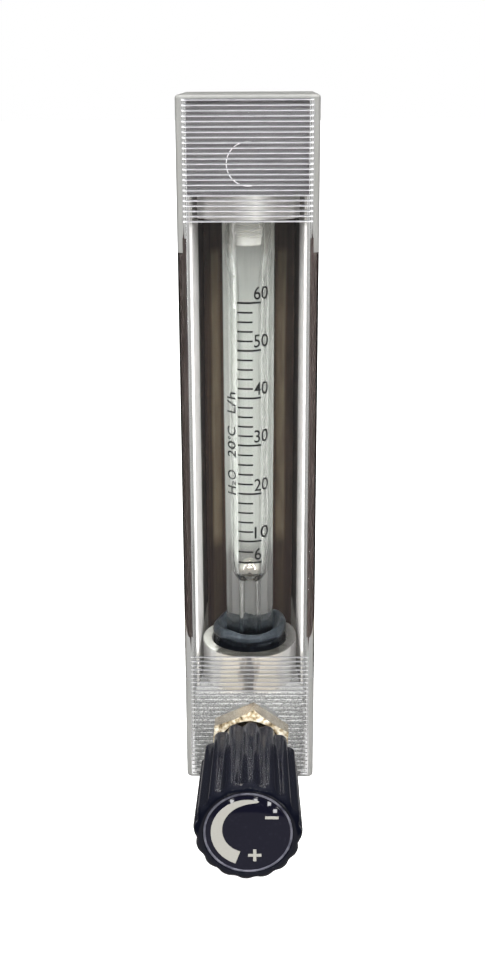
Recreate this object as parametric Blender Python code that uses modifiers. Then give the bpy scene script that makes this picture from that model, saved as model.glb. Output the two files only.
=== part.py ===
"""Glass-tube water flowmeter with a needle valve, for mounting on a panel.

Metres, +Z up. The origin is the centre of the housing's rear face, and the front faces -Y.
A steel channel holds two end blocks. A tapered glass tube with a ball float stands between
them, a clear cover slides over the front, and a knob on the lower block turns the needle.
"""

import math

import bmesh
import bpy
from mathutils import Matrix, Vector

MM = 0.001
GAP = 0.3 * MM  # clearance between neighbouring pieces

# Housing
WIDTH = 28 * MM
HEIGHT = 146 * MM
DEPTH = 35 * MM
COVER_WALL = 1.7 * MM
COVER_END_WALL = 0.8 * MM
COVER_ROUND = 0.7 * MM
SHEET = 0.6 * MM
PORT_FROM_END = 10.5 * MM

HALF_WIDTH = WIDTH / 2
HALF_HEIGHT = HEIGHT / 2
COVER_FRONT = -DEPTH
PORT_HEIGHT = HALF_HEIGHT - PORT_FROM_END
VALVE_HEIGHT = -PORT_HEIGHT

# Ribs across both ends of the cover
RIB_PITCH = 1.0 * MM
RIB_GROOVE = 0.55 * MM
RIB_DEPTH = 0.3 * MM
RIB_LENGTH = 25.8 * MM
UPPER_RIBS = 25
LOWER_RIBS = 30

# End blocks
BLOCK_HALF_WIDTH = 11.0 * MM
LIP_HALF_WIDTH = HALF_WIDTH - COVER_WALL - GAP
LIP_THICKNESS = 3 * MM
BLOCK_FRONT = COVER_FRONT + COVER_WALL + GAP
BLOCK_REAR = -SHEET - GAP
BLOCK_EDGE = 0.5 * MM
BLOCK_END = HALF_HEIGHT - COVER_END_WALL - GAP
UPPER_BLOCK_FACE = 54 * MM
LOWER_BLOCK_FACE = -53 * MM
BOSS_RADIUS = 10.9 * MM
UPPER_BOSS_FACE = 49 * MM
LOWER_BOSS_FACE = -44.3 * MM
SOCKET_RADIUS = 6.3 * MM
SOCKET_FLOOR = -11.7 * MM
PASSAGE_RADIUS = 2.5 * MM

# Glass tube and float
TUBE_Y = BLOCK_FRONT + BOSS_RADIUS
TUBE_BOTTOM = -50 * MM
TUBE_TOP = 55.5 * MM
TUBE_RADIUS_BOTTOM = 5.15 * MM
TUBE_RADIUS_TOP = 5.75 * MM
CAPILLARY_RADIUS = 1.6 * MM
BORE_START = -28.2 * MM
BORE_RADIUS_START = 2.6 * MM
BORE_FLARE = 36 * MM
BORE_RADIUS_FLARE = 2.8 * MM
STOP_BORE_START = 41 * MM
STOP_BORE_RADIUS = 3.35 * MM
BALL_RADIUS = 2.38 * MM
BALL_HEIGHT = -27.7 * MM
FLOAT_STOP_FACE = 43 * MM
FLOAT_STOP_RADIUS = 3.1 * MM
BARBS = 8

# Needle valve, as distances in front of the housing's rear face
SEAT_FACE = 15 * MM
ORIFICE_RADIUS = 1.25 * MM
CHAMBER_RADIUS = 3.4 * MM
CHAMBER_FRONT = 25.5 * MM
THREAD_RADIUS = 6.0 * MM
STEM_RADIUS = 2.5 * MM
STEM_BORE = 2.8 * MM
HEX_ACROSS_FLATS = 16 * MM
HEX_REAR = DEPTH + 2.6 * MM
HEX_FRONT = DEPTH + 7.5 * MM
HEX_TILT = math.radians(5.6)
NECK_FRONT = DEPTH + 11 * MM
STEM_FRONT = 64 * MM

# Knob, as distances in front of the housing's rear face
KNOB_REAR = DEPTH + 13.3 * MM
KNOB_FRONT = DEPTH + 40 * MM
KNOB_RADIUS_REAR = 10.1 * MM
KNOB_RADIUS_FRONT = 10.6 * MM
KNOB_EDGE = 0.9 * MM
FLUTES = 16
FLUTE_DEPTH = 0.9 * MM
FLUTE_TURN = math.radians(-3)
POINTS_PER_FLUTE = 6
CAP_RADIUS = 8.65 * MM
CAP_RECESS = 1.5 * MM

# Rear connectors and their panel fixings, as distances behind the housing's rear face
SHANK_END = 13 * MM
BARB_END = 31 * MM
CONNECTOR_BORE = 2.2 * MM
PANEL_THICKNESS = 3 * MM
PANEL_NUT_FLATS = 17 * MM
PANEL_NUT_THICKNESS = 5 * MM
WASHER_THICKNESS = 1 * MM

# Countersunk screws that hold the blocks to the channel
SCREW_X = 7.6 * MM
SCREW_HEIGHT = 57.2 * MM
SCREW_RADIUS = 1.5 * MM
SCREW_HEAD_RADIUS = 2.75 * MM
SCREW_HEAD_DEPTH = 1.7 * MM
SCREW_LENGTH = 8 * MM

FINE = 32  # sides of a large round piece
PLAIN = 24  # sides of a small round piece
COARSE = 16  # sides of a screw or a small hole
SECTION = 6  # sides of a seal ring's section

UPRIGHT = (0, 0, 0)
FORWARD = (math.pi / 2, 0, 0)  # turns local +Z to world -Y
BACKWARD = (-math.pi / 2, 0, 0)  # turns local +Z to world +Y


def start_scene():
    for obj in list(bpy.data.objects):
        bpy.data.objects.remove(obj, do_unlink=True)
    groups = []
    for name in ("flowmeter", "cutters"):
        group = bpy.data.collections.new(name)
        bpy.context.scene.collection.children.link(group)
        groups.append(group)
    return groups


FLOWMETER, CUTTERS = start_scene()


def material(name, colour, roughness, metallic=0.0, transmission=0.0):
    made = bpy.data.materials.new(name)
    made.use_nodes = True
    shader = made.node_tree.nodes["Principled BSDF"]
    shader.inputs["Base Color"].default_value = (*colour, 1.0)
    shader.inputs["Roughness"].default_value = roughness
    shader.inputs["Metallic"].default_value = metallic
    shader.inputs["Transmission Weight"].default_value = transmission
    return made


STEEL = material("polished_steel", (0.42, 0.39, 0.35), 0.25, metallic=1.0)
ALUMINIUM = material("machined_aluminium", (0.62, 0.62, 0.62), 0.4, metallic=1.0)
NICKELLED = material("nickelled_brass", (0.78, 0.66, 0.48), 0.15, metallic=1.0)
ACRYLIC = material("clear_acrylic", (0.95, 0.96, 0.95), 0.05, transmission=1.0)
GLASS = material("tube_glass", (0.93, 0.96, 0.94), 0.02, transmission=1.0)
SEAL_RUBBER = material("seal_rubber", (0.05, 0.06, 0.075), 0.6)
WHITE_PLASTIC = material("white_plastic", (0.85, 0.84, 0.8), 0.35)
KNOB_PLASTIC = material("knob_plastic", (0.012, 0.012, 0.03), 0.15)
CAP_PLASTIC = material("cap_plastic", (0.02, 0.02, 0.035), 0.1)
BALL_STEEL = material("ball_steel", (0.75, 0.7, 0.62), 0.08, metallic=1.0)
ZINC = material("zinc_plate", (0.6, 0.6, 0.58), 0.3, metallic=1.0)


def add_object(name, mesh, place, turn, finish):
    """A part when it has a finish, and a hidden cutter when it has none."""
    obj = bpy.data.objects.new(name, mesh)
    obj.location = place
    obj.rotation_euler = turn
    if finish:
        mesh.materials.append(finish)
        FLOWMETER.objects.link(obj)
    else:
        obj.hide_render = True
        obj.display_type = "WIRE"
        CUTTERS.objects.link(obj)
    return obj


def from_bmesh(name, shape, place, turn, finish):
    mesh = bpy.data.meshes.new(name)
    shape.to_mesh(mesh)
    shape.free()
    return add_object(name, mesh, place, turn, finish)


def box(name, low, high, finish=None, rounding=0.0, segments=2):
    """A box between two corners, with rounded edges where rounding is given."""
    low, high = Vector(low), Vector(high)
    shape = bmesh.new()
    bmesh.ops.create_cube(shape, size=1, matrix=Matrix.Diagonal((*(high - low), 1)))
    obj = from_bmesh(name, shape, (low + high) / 2, UPRIGHT, finish)
    if rounding:
        edge = obj.modifiers.new("rounding", "BEVEL")
        edge.width = rounding
        edge.segments = segments
    return obj


def prism(name, radius, low, high, place, turn=UPRIGHT, sides=PLAIN, end_radius=None):
    """A hidden cylinder, cone or hexagonal bar along its own Z axis, from low to high."""
    shape = bmesh.new()
    middle = Matrix.Translation((0, 0, (low + high) / 2))
    bmesh.ops.create_cone(
        shape,
        cap_ends=True,
        segments=sides,
        radius1=radius,
        radius2=radius if end_radius is None else end_radius,
        depth=high - low,
        matrix=middle,
    )
    return from_bmesh(name, shape, place, turn, None)


def turned(name, profile, place, turn, finish, steps=PLAIN, ring=False):
    """A profile of (radius, height) points spun about the piece's own Z axis.

    The outer side runs from the top down. A ring's profile goes on up its inner side and
    closes. Any other profile starts and ends on the axis.
    """
    mesh = bpy.data.meshes.new(name)
    points = [(radius, 0, height) for radius, height in profile]
    edges = [(i, i + 1) for i in range(len(points) - 1)]
    if ring:
        edges.append((len(points) - 1, 0))
    mesh.from_pydata(points, edges, [])
    obj = add_object(name, mesh, place, turn, finish)
    spin = obj.modifiers.new("spin", "SCREW")
    spin.steps = steps
    spin.render_steps = steps
    spin.use_merge_vertices = True
    spin.merge_threshold = 1e-6
    spin.use_smooth_shade = True
    return obj


def boolean(obj, other, operation="DIFFERENCE"):
    step = obj.modifiers.new(other.name, "BOOLEAN")
    step.operation = operation
    step.solver = "EXACT"
    step.object = other


def hexagon(obj, across_flats, low, high, tilt=0.0):
    """Trims a turned collar to a hexagon, with a corner up when tilt is zero."""
    corner = across_flats / 2 / math.cos(math.pi / 6)
    bar = prism(obj.name + "_flats", corner, low, high, obj.location, sides=6)
    up = Matrix.Rotation(tilt, 4, "Y")
    bar.rotation_euler = (up @ obj.rotation_euler.to_matrix().to_4x4()).to_euler()
    boolean(obj, bar, "INTERSECT")


def ring_seal(name, radius, section, place, turn):
    """A round-section ring whose centre line has the given radius."""
    angles = [math.tau * i / SECTION for i in range(SECTION)]
    profile = [(radius + section * math.sin(a), section * math.cos(a)) for a in angles]
    return turned(name, profile, place, turn, SEAL_RUBBER, ring=True)


def make_back_channel():
    """Steel sheet bent to a U, open to the front, with holes for the ports and the screws."""
    half = HALF_WIDTH - COVER_WALL - GAP
    front = BLOCK_FRONT + LIP_THICKNESS + GAP
    bend = 1.6 * MM
    outline = [(-half, front)]
    for centre_x, start in ((-half + bend, math.pi), (half - bend, math.pi / 2)):
        for step in range(4):
            angle = start - step * math.pi / 6
            outline.append((centre_x + bend * math.cos(angle), -bend + bend * math.sin(angle)))
    outline.append((half, front))
    shape = bmesh.new()
    length = 2 * BLOCK_END
    verts = [shape.verts.new((x, y, -BLOCK_END)) for x, y in outline]
    edges = [shape.edges.new(pair) for pair in zip(verts, verts[1:])]
    swept = bmesh.ops.extrude_edge_only(shape, edges=edges)
    risen = [item for item in swept["geom"] if isinstance(item, bmesh.types.BMVert)]
    bmesh.ops.translate(shape, verts=risen, vec=(0, 0, length))
    bmesh.ops.recalc_face_normals(shape, faces=shape.faces)
    channel = from_bmesh("back_channel", shape, (0, 0, 0), UPRIGHT, STEEL)
    sheet = channel.modifiers.new("sheet", "SOLIDIFY")
    sheet.thickness = SHEET
    sheet.offset = 1.0 if inward_normals(channel) else -1.0
    sheet.use_even_offset = True
    for side in (1, -1):
        place = (0, 0, side * PORT_HEIGHT)
        hole = prism(f"channel_port_{side}", SOCKET_RADIUS, -3 * SHEET, 2 * SHEET, place, BACKWARD)
        boolean(channel, hole)
    for label, x, height in screw_places():
        sink = screw_sink(f"channel_{label}", x, height)
        boolean(channel, sink)
    return channel


def inward_normals(channel):
    """Whether the web's face, the one nearest the rear, faces forward."""
    rear = max(channel.data.polygons, key=lambda face: (face.center.y, face.area))
    return rear.normal.y < 0


def screw_places():
    for level, height in (("upper", SCREW_HEIGHT), ("lower", -SCREW_HEIGHT)):
        for side, x in (("left", -SCREW_X), ("right", SCREW_X)):
            yield f"{level}_{side}", x, height


def screw_sink(name, x, height):
    """The countersunk hole through the sheet, wider than the screw by the usual gap."""
    slope = (SCREW_HEAD_RADIUS - SCREW_RADIUS) / SCREW_HEAD_DEPTH
    past = 0.5 * MM
    depth = SCREW_HEAD_DEPTH + 2 * past
    wide = SCREW_HEAD_RADIUS + GAP + slope * past
    narrow = wide - slope * depth
    return prism(name, narrow, past - depth, past, (x, 0, height), BACKWARD, end_radius=wide)


def make_front_cover():
    """Clear cover over the front and sides, open at the rear, ribbed at both ends."""
    behind = 6 * MM
    low = (-HALF_WIDTH, COVER_FRONT, -HALF_HEIGHT)
    cover = box("front_cover", low, (HALF_WIDTH, behind, HALF_HEIGHT), ACRYLIC, COVER_ROUND, 3)
    inner_x, inner_z = HALF_WIDTH - COVER_WALL, HALF_HEIGHT - COVER_END_WALL
    inner_front = COVER_FRONT + COVER_WALL
    hollow = box("cover_hollow", (-inner_x, inner_front, -inner_z), (inner_x, 2 * behind, inner_z))
    boolean(cover, hollow)
    past = 2 * HALF_HEIGHT
    boolean(cover, box("cover_rear_trim", (-past, 0, -past), (past, 2 * behind, past)))
    valve_hole = prism(
        "cover_valve_hole", SOCKET_RADIUS, DEPTH - 5 * MM, DEPTH + 5 * MM, (0, 0, VALVE_HEIGHT), FORWARD
    )
    boolean(cover, valve_hole)
    boolean(cover, rib_grooves())
    return cover


def rib_grooves():
    """The shallow grooves between the ribs, as one cutter."""
    heights = [HALF_HEIGHT - (i + 0.9) * RIB_PITCH for i in range(UPPER_RIBS - 1)]
    heights += [-HALF_HEIGHT + (i + 1.1) * RIB_PITCH for i in range(LOWER_RIBS - 1)]
    shape = bmesh.new()
    size = Matrix.Diagonal((RIB_LENGTH, 2 * RIB_DEPTH, RIB_GROOVE, 1))
    for height in heights:
        place = Matrix.Translation((0, COVER_FRONT, height))
        bmesh.ops.create_cube(shape, size=1, matrix=place @ size)
    return from_bmesh("rib_grooves", shape, (0, 0, 0), UPRIGHT, None)


def block_bar(name, low, high):
    """A bar of T section from low to high, whose front lip stands over the channel's edges."""
    lip_rear = BLOCK_FRONT + LIP_THICKNESS
    right = [
        (LIP_HALF_WIDTH, BLOCK_FRONT),
        (LIP_HALF_WIDTH, lip_rear),
        (BLOCK_HALF_WIDTH, lip_rear),
        (BLOCK_HALF_WIDTH, BLOCK_REAR),
    ]
    left = [(-x, y) for x, y in reversed(right)]
    shape = bmesh.new()
    section = shape.faces.new([shape.verts.new((x, y, low)) for x, y in right + left])
    drawn = bmesh.ops.extrude_face_region(shape, geom=[section])
    risen = [item for item in drawn["geom"] if isinstance(item, bmesh.types.BMVert)]
    bmesh.ops.translate(shape, verts=risen, vec=(0, 0, high - low))
    bmesh.ops.recalc_face_normals(shape, faces=shape.faces)
    bar = from_bmesh(name, shape, (0, 0, 0), UPRIGHT, ALUMINIUM)
    edge = bar.modifiers.new("edge", "BEVEL")
    edge.width = BLOCK_EDGE
    edge.segments = 1
    return bar


def make_block(name, block_face, boss_face):
    """An end block with its tube boss. The block lies beyond block_face, away from the tube."""
    side = 1 if block_face > 0 else -1
    block = block_bar(name, *sorted((block_face, side * BLOCK_END)))
    into_block = 2 * MM
    boss_ends = sorted((boss_face, block_face + side * into_block))
    boss = prism(name + "_boss", BOSS_RADIUS, *boss_ends, (0, TUBE_Y, 0), sides=FINE)
    boolean(block, boss, "UNION")
    port = (0, 0, side * PORT_HEIGHT)
    boolean(block, prism(name + "_socket", SOCKET_RADIUS, SOCKET_FLOOR, MM, port, BACKWARD))
    return block, port


def cut_screw_holes(block, level):
    for label, x, height in screw_places():
        if label.startswith(level):
            place = (x, 0, height)
            hole_radius = SCREW_RADIUS + GAP
            hole = prism(f"block_{label}", hole_radius, -SCREW_LENGTH - 1 * MM, MM, place, BACKWARD, COARSE)
            boolean(block, hole)
            boolean(block, screw_sink(f"block_sink_{label}", x, height))


def make_top_block():
    block, port = make_block("top_block", UPPER_BLOCK_FACE, UPPER_BOSS_FACE)
    seal_bore = 8 * MM
    seal_floor = 57.5 * MM
    tube = (0, TUBE_Y, 0)
    boolean(block, prism("upper_seal_bore", seal_bore, UPPER_BOSS_FACE - MM, seal_floor, tube, sides=FINE))
    boolean(block, prism("upper_riser", PASSAGE_RADIUS, seal_floor - MM, PORT_HEIGHT, tube))
    passage_end = TUBE_Y - PASSAGE_RADIUS
    passage = prism("upper_passage", PASSAGE_RADIUS, passage_end, SOCKET_FLOOR + MM, port, BACKWARD)
    boolean(block, passage)
    cut_screw_holes(block, "upper")
    return block


def make_bottom_block():
    block, port = make_block("bottom_block", LOWER_BLOCK_FACE, LOWER_BOSS_FACE)
    seal_recess = 8.8 * MM
    recess_floor = -47.3 * MM
    tube_bore = 5.6 * MM
    tube_floor = -51 * MM
    tube = (0, TUBE_Y, 0)
    boolean(block, prism("seal_recess", seal_recess, recess_floor, LOWER_BOSS_FACE + MM, tube, sides=FINE))
    boolean(block, prism("lower_tube_bore", tube_bore, tube_floor, recess_floor + MM, tube))
    boolean(block, prism("lower_riser", PASSAGE_RADIUS, VALVE_HEIGHT, tube_floor + MM, tube))
    socket_front = -BLOCK_FRONT + MM
    boolean(block, prism("bonnet_socket", SOCKET_RADIUS, CHAMBER_FRONT, socket_front, port, FORWARD))
    boolean(block, prism("chamber", CHAMBER_RADIUS, SEAT_FACE, CHAMBER_FRONT + MM, port, FORWARD))
    orifice_ends = (-SOCKET_FLOOR - MM, SEAT_FACE + MM)
    boolean(block, prism("orifice", ORIFICE_RADIUS, *orifice_ends, port, FORWARD, COARSE))
    cut_screw_holes(block, "lower")
    return block


def make_glass_tube():
    """Tapered tube. Its bore narrows at the bottom to a seat for the ball, and flares at the top."""
    lip = 0.4 * MM
    seat_low = BORE_START - 2.0 * MM
    seat_middle = BORE_START - 0.9 * MM
    profile = [
        (TUBE_RADIUS_TOP - lip, TUBE_TOP),
        (TUBE_RADIUS_TOP, TUBE_TOP - lip),
        (TUBE_RADIUS_BOTTOM, TUBE_BOTTOM + lip),
        (TUBE_RADIUS_BOTTOM - lip, TUBE_BOTTOM),
        (CAPILLARY_RADIUS, TUBE_BOTTOM),
        (CAPILLARY_RADIUS, seat_low),
        (2.2 * MM, seat_middle),
        (BORE_RADIUS_START, BORE_START),
        (BORE_RADIUS_FLARE, BORE_FLARE),
        (STOP_BORE_RADIUS, STOP_BORE_START),
        (STOP_BORE_RADIUS, TUBE_TOP),
    ]
    return turned("glass_tube", profile, (0, TUBE_Y, 0), UPRIGHT, GLASS, steps=FINE, ring=True)


def make_ball_float():
    shape = bmesh.new()
    bmesh.ops.create_uvsphere(shape, u_segments=PLAIN, v_segments=PLAIN // 2, radius=BALL_RADIUS)
    place = (0, TUBE_Y, BALL_HEIGHT)
    return from_bmesh("ball_float", shape, place, UPRIGHT, BALL_STEEL)


def make_upper_float_stop():
    """Barbed plug in the top of the tube, with a flange over the tube's end and a flow hole."""
    flange_low = TUBE_TOP + GAP
    flange_high = flange_low + 1.2 * MM
    flange_radius = 4.8 * MM
    root_radius = FLOAT_STOP_RADIUS - 0.35 * MM
    hole_radius = 1.3 * MM
    barb_pitch = 0.5 * MM
    barb_start = FLOAT_STOP_FACE + 1.6 * MM
    barbs = []
    for i in reversed(range(BARBS)):
        base = barb_start + i * barb_pitch
        barbs += [(FLOAT_STOP_RADIUS, base + 0.8 * barb_pitch), (root_radius, base)]
    profile = [
        (flange_radius, flange_high),
        (flange_radius, flange_low),
        (root_radius, flange_low),
        (root_radius, barb_start + BARBS * barb_pitch),
        *barbs,
        (root_radius, FLOAT_STOP_FACE + 0.3 * MM),
        (root_radius - 0.3 * MM, FLOAT_STOP_FACE),
        (hole_radius, FLOAT_STOP_FACE),
        (hole_radius, flange_high),
    ]
    return turned("upper_float_stop", profile, (0, TUBE_Y, 0), UPRIGHT, WHITE_PLASTIC, ring=True)


def make_tube_seals():
    """The plain ring in the top block, and the collar that stands round the tube's foot."""
    tube = (0, TUBE_Y, 0)
    upper_low, upper_high = UPPER_BOSS_FACE + GAP, TUBE_TOP
    upper_outer, upper_inner = 7.7 * MM, 6.05 * MM
    profile = [
        (upper_outer, upper_high),
        (upper_outer, upper_low),
        (upper_inner, upper_low),
        (upper_inner, upper_high),
    ]
    turned("upper_tube_seal", profile, tube, UPRIGHT, SEAL_RUBBER, steps=FINE, ring=True)
    rim, foot = -40.3 * MM, -47.0 * MM
    collar, mouth, waist = 8.5 * MM, 6.9 * MM, 5.5 * MM
    profile = [
        (collar - 0.8 * MM, rim),
        (collar, rim - 0.9 * MM),
        (collar, foot),
        (waist, foot),
        (waist, rim - 3.4 * MM),
        (mouth, rim - 1.4 * MM),
        (mouth + 0.2 * MM, rim - 0.2 * MM),
    ]
    turned("lower_tube_seal", profile, tube, UPRIGHT, SEAL_RUBBER, steps=FINE, ring=True)


def make_connector(level, height):
    """Threaded shank with a hose tail, its seal, and the washer and nut that clamp a panel."""
    place = (0, 0, height)
    shank_start = SOCKET_FLOOR + 2.3 * MM
    edge = 0.6 * MM
    tail_root, tail_peak = 3.4 * MM, 4.2 * MM
    barb_length = 5 * MM
    barbs = []
    for i in range(3):
        top = BARB_END - i * barb_length
        barbs += [(tail_root, top), (tail_peak, top - barb_length + edge)]
    profile = [
        *barbs,
        (tail_root, BARB_END - 3 * barb_length + edge),
        (tail_root, SHANK_END),
        (THREAD_RADIUS - edge, SHANK_END),
        (THREAD_RADIUS, SHANK_END - edge),
        (THREAD_RADIUS, shank_start + edge),
        (THREAD_RADIUS - edge, shank_start),
        (CONNECTOR_BORE, shank_start),
        (CONNECTOR_BORE, BARB_END),
    ]
    turned(f"{level}_connector", profile, place, BACKWARD, NICKELLED, ring=True)
    section = 0.85 * MM
    seal_place = (0, SOCKET_FLOOR + GAP / 2 + section + 0.1 * MM, height)
    ring_seal(f"{level}_connector_o_ring", 4.4 * MM, section, seal_place, BACKWARD)
    washer_low = PANEL_THICKNESS + GAP
    make_washer(f"{level}_panel_washer", 9.5 * MM, washer_low, place, BACKWARD)
    nut_low = washer_low + WASHER_THICKNESS + GAP
    make_nut(f"{level}_panel_nut", nut_low, place)


def make_washer(name, radius, low, place, turn, thickness=WASHER_THICKNESS):
    profile = [(radius, low + thickness), (radius, low)]
    profile += [(SOCKET_RADIUS, low), (SOCKET_RADIUS, low + thickness)]
    return turned(name, profile, place, turn, ZINC, ring=True)


def hexagon_collar(corner, low, high, chamfer):
    """Outer side of a nut or a hexagon head, from the top down, before its flats are cut."""
    past = corner + GAP
    return [(corner - chamfer * 1.7, high), (past, high - chamfer), (past, low)]


def make_nut(name, low, place):
    corner = PANEL_NUT_FLATS / 2 / math.cos(math.pi / 6)
    high = low + PANEL_NUT_THICKNESS
    profile = hexagon_collar(corner, low, high, 0.6 * MM)
    profile += [(SOCKET_RADIUS, low), (SOCKET_RADIUS, high)]
    nut = turned(name, profile, place, BACKWARD, NICKELLED, ring=True)
    hexagon(nut, PANEL_NUT_FLATS, low - MM, high + MM)
    return nut


def make_valve_bonnet():
    """Threaded body with a hexagon head and a neck, bored for the spindle."""
    place = (0, 0, VALVE_HEIGHT)
    corner = HEX_ACROSS_FLATS / 2 / math.cos(math.pi / 6)
    neck_radius = 4.6 * MM
    edge = 0.5 * MM
    thread_bore = 3.2 * MM
    thread_end = DEPTH + 1 * MM
    shank_rear = CHAMBER_FRONT + 2.0 * MM
    profile = [
        (neck_radius - edge, NECK_FRONT),
        (neck_radius, NECK_FRONT - edge),
        (neck_radius, HEX_FRONT),
        *hexagon_collar(corner, HEX_REAR, HEX_FRONT, 1.2 * MM),
        (THREAD_RADIUS, HEX_REAR),
        (THREAD_RADIUS, shank_rear + edge),
        (THREAD_RADIUS - edge, shank_rear),
        (thread_bore, shank_rear),
        (thread_bore, thread_end),
        (STEM_BORE, thread_end),
        (STEM_BORE, NECK_FRONT),
    ]
    bonnet = turned("valve_bonnet", profile, place, FORWARD, NICKELLED, ring=True)
    hexagon(bonnet, HEX_ACROSS_FLATS, shank_rear - MM, NECK_FRONT + MM, HEX_TILT)
    washer_thickness = HEX_REAR - DEPTH - 2 * GAP
    make_washer("bonnet_washer", 7.7 * MM, DEPTH + GAP, place, FORWARD, washer_thickness)
    section = 0.7 * MM
    seal_place = (0, -CHAMBER_FRONT - section - 0.2 * MM, VALVE_HEIGHT)
    ring_seal("bonnet_o_ring", 4.9 * MM, section, seal_place, FORWARD)


def make_valve_spindle():
    """Needle, screwed part and stem, with a ring groove and a tapped front end."""
    place = (0, 0, VALVE_HEIGHT)
    needle_tip = SEAT_FACE - 2.8 * MM
    shoulder = SEAT_FACE + GAP
    screwed = (24 * MM, 31 * MM)
    screwed_radius = 2.9 * MM
    groove = (39.6 * MM, 41.0 * MM)
    groove_radius = 1.5 * MM
    tapped_radius = SCREW_RADIUS + GAP
    tapped_floor = STEM_FRONT - 9 * MM
    profile = [
        (tapped_radius, STEM_FRONT),
        (STEM_RADIUS, STEM_FRONT),
        (STEM_RADIUS, groove[1]),
        (groove_radius, groove[1]),
        (groove_radius, groove[0]),
        (STEM_RADIUS, groove[0]),
        (STEM_RADIUS, screwed[1]),
        (screwed_radius, screwed[1]),
        (screwed_radius, screwed[0]),
        (2.2 * MM, screwed[0]),
        (2.2 * MM, shoulder),
        (0.95 * MM, shoulder),
        (0.4 * MM, needle_tip),
        (0, needle_tip),
    ]
    bore = [(0, tapped_floor), (tapped_radius, tapped_floor)]
    turned("valve_spindle", bore + profile, place, FORWARD, NICKELLED)
    ring_place = (0, -sum(groove) / 2, VALVE_HEIGHT)
    ring_seal("spindle_o_ring", 2.15 * MM, 0.5 * MM, ring_place, FORWARD)


def fluted_ring(shape, height, tip_radius, depth):
    """One loop of points round a fluted section, with round lobes and narrower valleys."""
    loop = []
    count = FLUTES * POINTS_PER_FLUTE
    for i in range(count):
        phase = i / POINTS_PER_FLUTE
        valley = abs(math.sin(math.pi * phase)) ** 3
        radius = tip_radius - depth * valley
        angle = math.tau * i / count + FLUTE_TURN
        loop.append(shape.verts.new((radius * math.cos(angle), radius * math.sin(angle), height)))
    return loop


def make_knob():
    """Tapered fluted knob, hollow at the rear, with a recess for its cap."""
    place = (0, 0, VALVE_HEIGHT)
    front_ring = 9.6 * MM
    shape = bmesh.new()
    stations = [
        (KNOB_REAR, KNOB_RADIUS_REAR - 0.4 * MM, FLUTE_DEPTH),
        (KNOB_REAR + 0.4 * MM, KNOB_RADIUS_REAR, FLUTE_DEPTH),
        (KNOB_FRONT - 2 * KNOB_EDGE, KNOB_RADIUS_FRONT, FLUTE_DEPTH),
        (KNOB_FRONT - 0.7 * KNOB_EDGE, KNOB_RADIUS_FRONT - 0.25 * KNOB_EDGE, 0.8 * FLUTE_DEPTH),
        (KNOB_FRONT, front_ring, 0.1 * FLUTE_DEPTH),
    ]
    loops = [fluted_ring(shape, *station) for station in stations]
    for lower, upper in zip(loops, loops[1:]):
        for i in range(len(lower)):
            shape.faces.new((lower[i - 1], lower[i], upper[i], upper[i - 1]))
    shape.faces.new(reversed(loops[0]))
    shape.faces.new(loops[-1])
    bmesh.ops.recalc_face_normals(shape, faces=shape.faces)
    knob = from_bmesh("knob", shape, place, FORWARD, KNOB_PLASTIC)
    cap_floor = KNOB_FRONT - CAP_RECESS
    screw_floor = STEM_FRONT + 2.2 * MM
    rear_recess = KNOB_REAR + 6 * MM
    bores = [
        ("cap_recess", CAP_RADIUS + GAP, cap_floor, KNOB_FRONT + MM, FINE),
        ("screw_recess", 4.5 * MM, screw_floor, cap_floor + MM, PLAIN),
        ("screw_hole", SCREW_RADIUS + GAP, STEM_FRONT - MM, screw_floor + MM, PLAIN),
        ("stem_hole", STEM_BORE, rear_recess - MM, STEM_FRONT + GAP, PLAIN),
        ("rear_recess", 7.4 * MM, KNOB_REAR - MM, rear_recess, FINE),
    ]
    for name, radius, low, high, sides in bores:
        boolean(knob, prism(name, radius, low, high, place, FORWARD, sides=sides))
    return knob


def make_knob_cap():
    """Disc that closes the knob's front, with a raised rim."""
    low = KNOB_FRONT - CAP_RECESS + GAP
    high = KNOB_FRONT - 0.1 * MM
    rim = 0.35 * MM
    profile = [
        (0, high - 0.15 * MM),
        (CAP_RADIUS - rim - 0.1 * MM, high - 0.15 * MM),
        (CAP_RADIUS - rim, high),
        (CAP_RADIUS - 0.1 * MM, high),
        (CAP_RADIUS, high - 0.1 * MM),
        (CAP_RADIUS, low),
        (0, low),
    ]
    return turned("knob_cap", profile, (0, 0, VALVE_HEIGHT), FORWARD, CAP_PLASTIC, steps=FINE)


def cut_cross(screw, width, length, low, high):
    """Two crossed slots for a screwdriver, cut into a screw's head one after the other."""
    middle = Matrix.Translation((0, 0, (low + high) / 2))
    for label, size in (("a", (length, width)), ("b", (width, length))):
        shape = bmesh.new()
        bmesh.ops.create_cube(shape, size=1, matrix=middle @ Matrix.Diagonal((*size, high - low, 1)))
        name = f"{screw.name}_slot_{label}"
        boolean(screw, from_bmesh(name, shape, screw.location, screw.rotation_euler, None))


def make_knob_screw():
    """Pan-head screw that draws the knob on to the spindle's end."""
    place = (0, 0, VALVE_HEIGHT)
    head_low = STEM_FRONT + 2.2 * MM + GAP
    head_high = head_low + 2.0 * MM
    head_radius = 2.9 * MM
    edge = 0.5 * MM
    tip = STEM_FRONT - 7 * MM
    profile = [
        (0, head_high),
        (head_radius - edge, head_high),
        (head_radius, head_high - edge),
        (head_radius, head_low),
        (SCREW_RADIUS, head_low),
        (SCREW_RADIUS, tip + edge),
        (SCREW_RADIUS - edge, tip),
        (0, tip),
    ]
    screw = turned("knob_screw", profile, place, FORWARD, ZINC, steps=COARSE)
    cut_cross(screw, 0.7 * MM, 3 * MM, head_high - MM, head_high + MM)
    return screw


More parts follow.
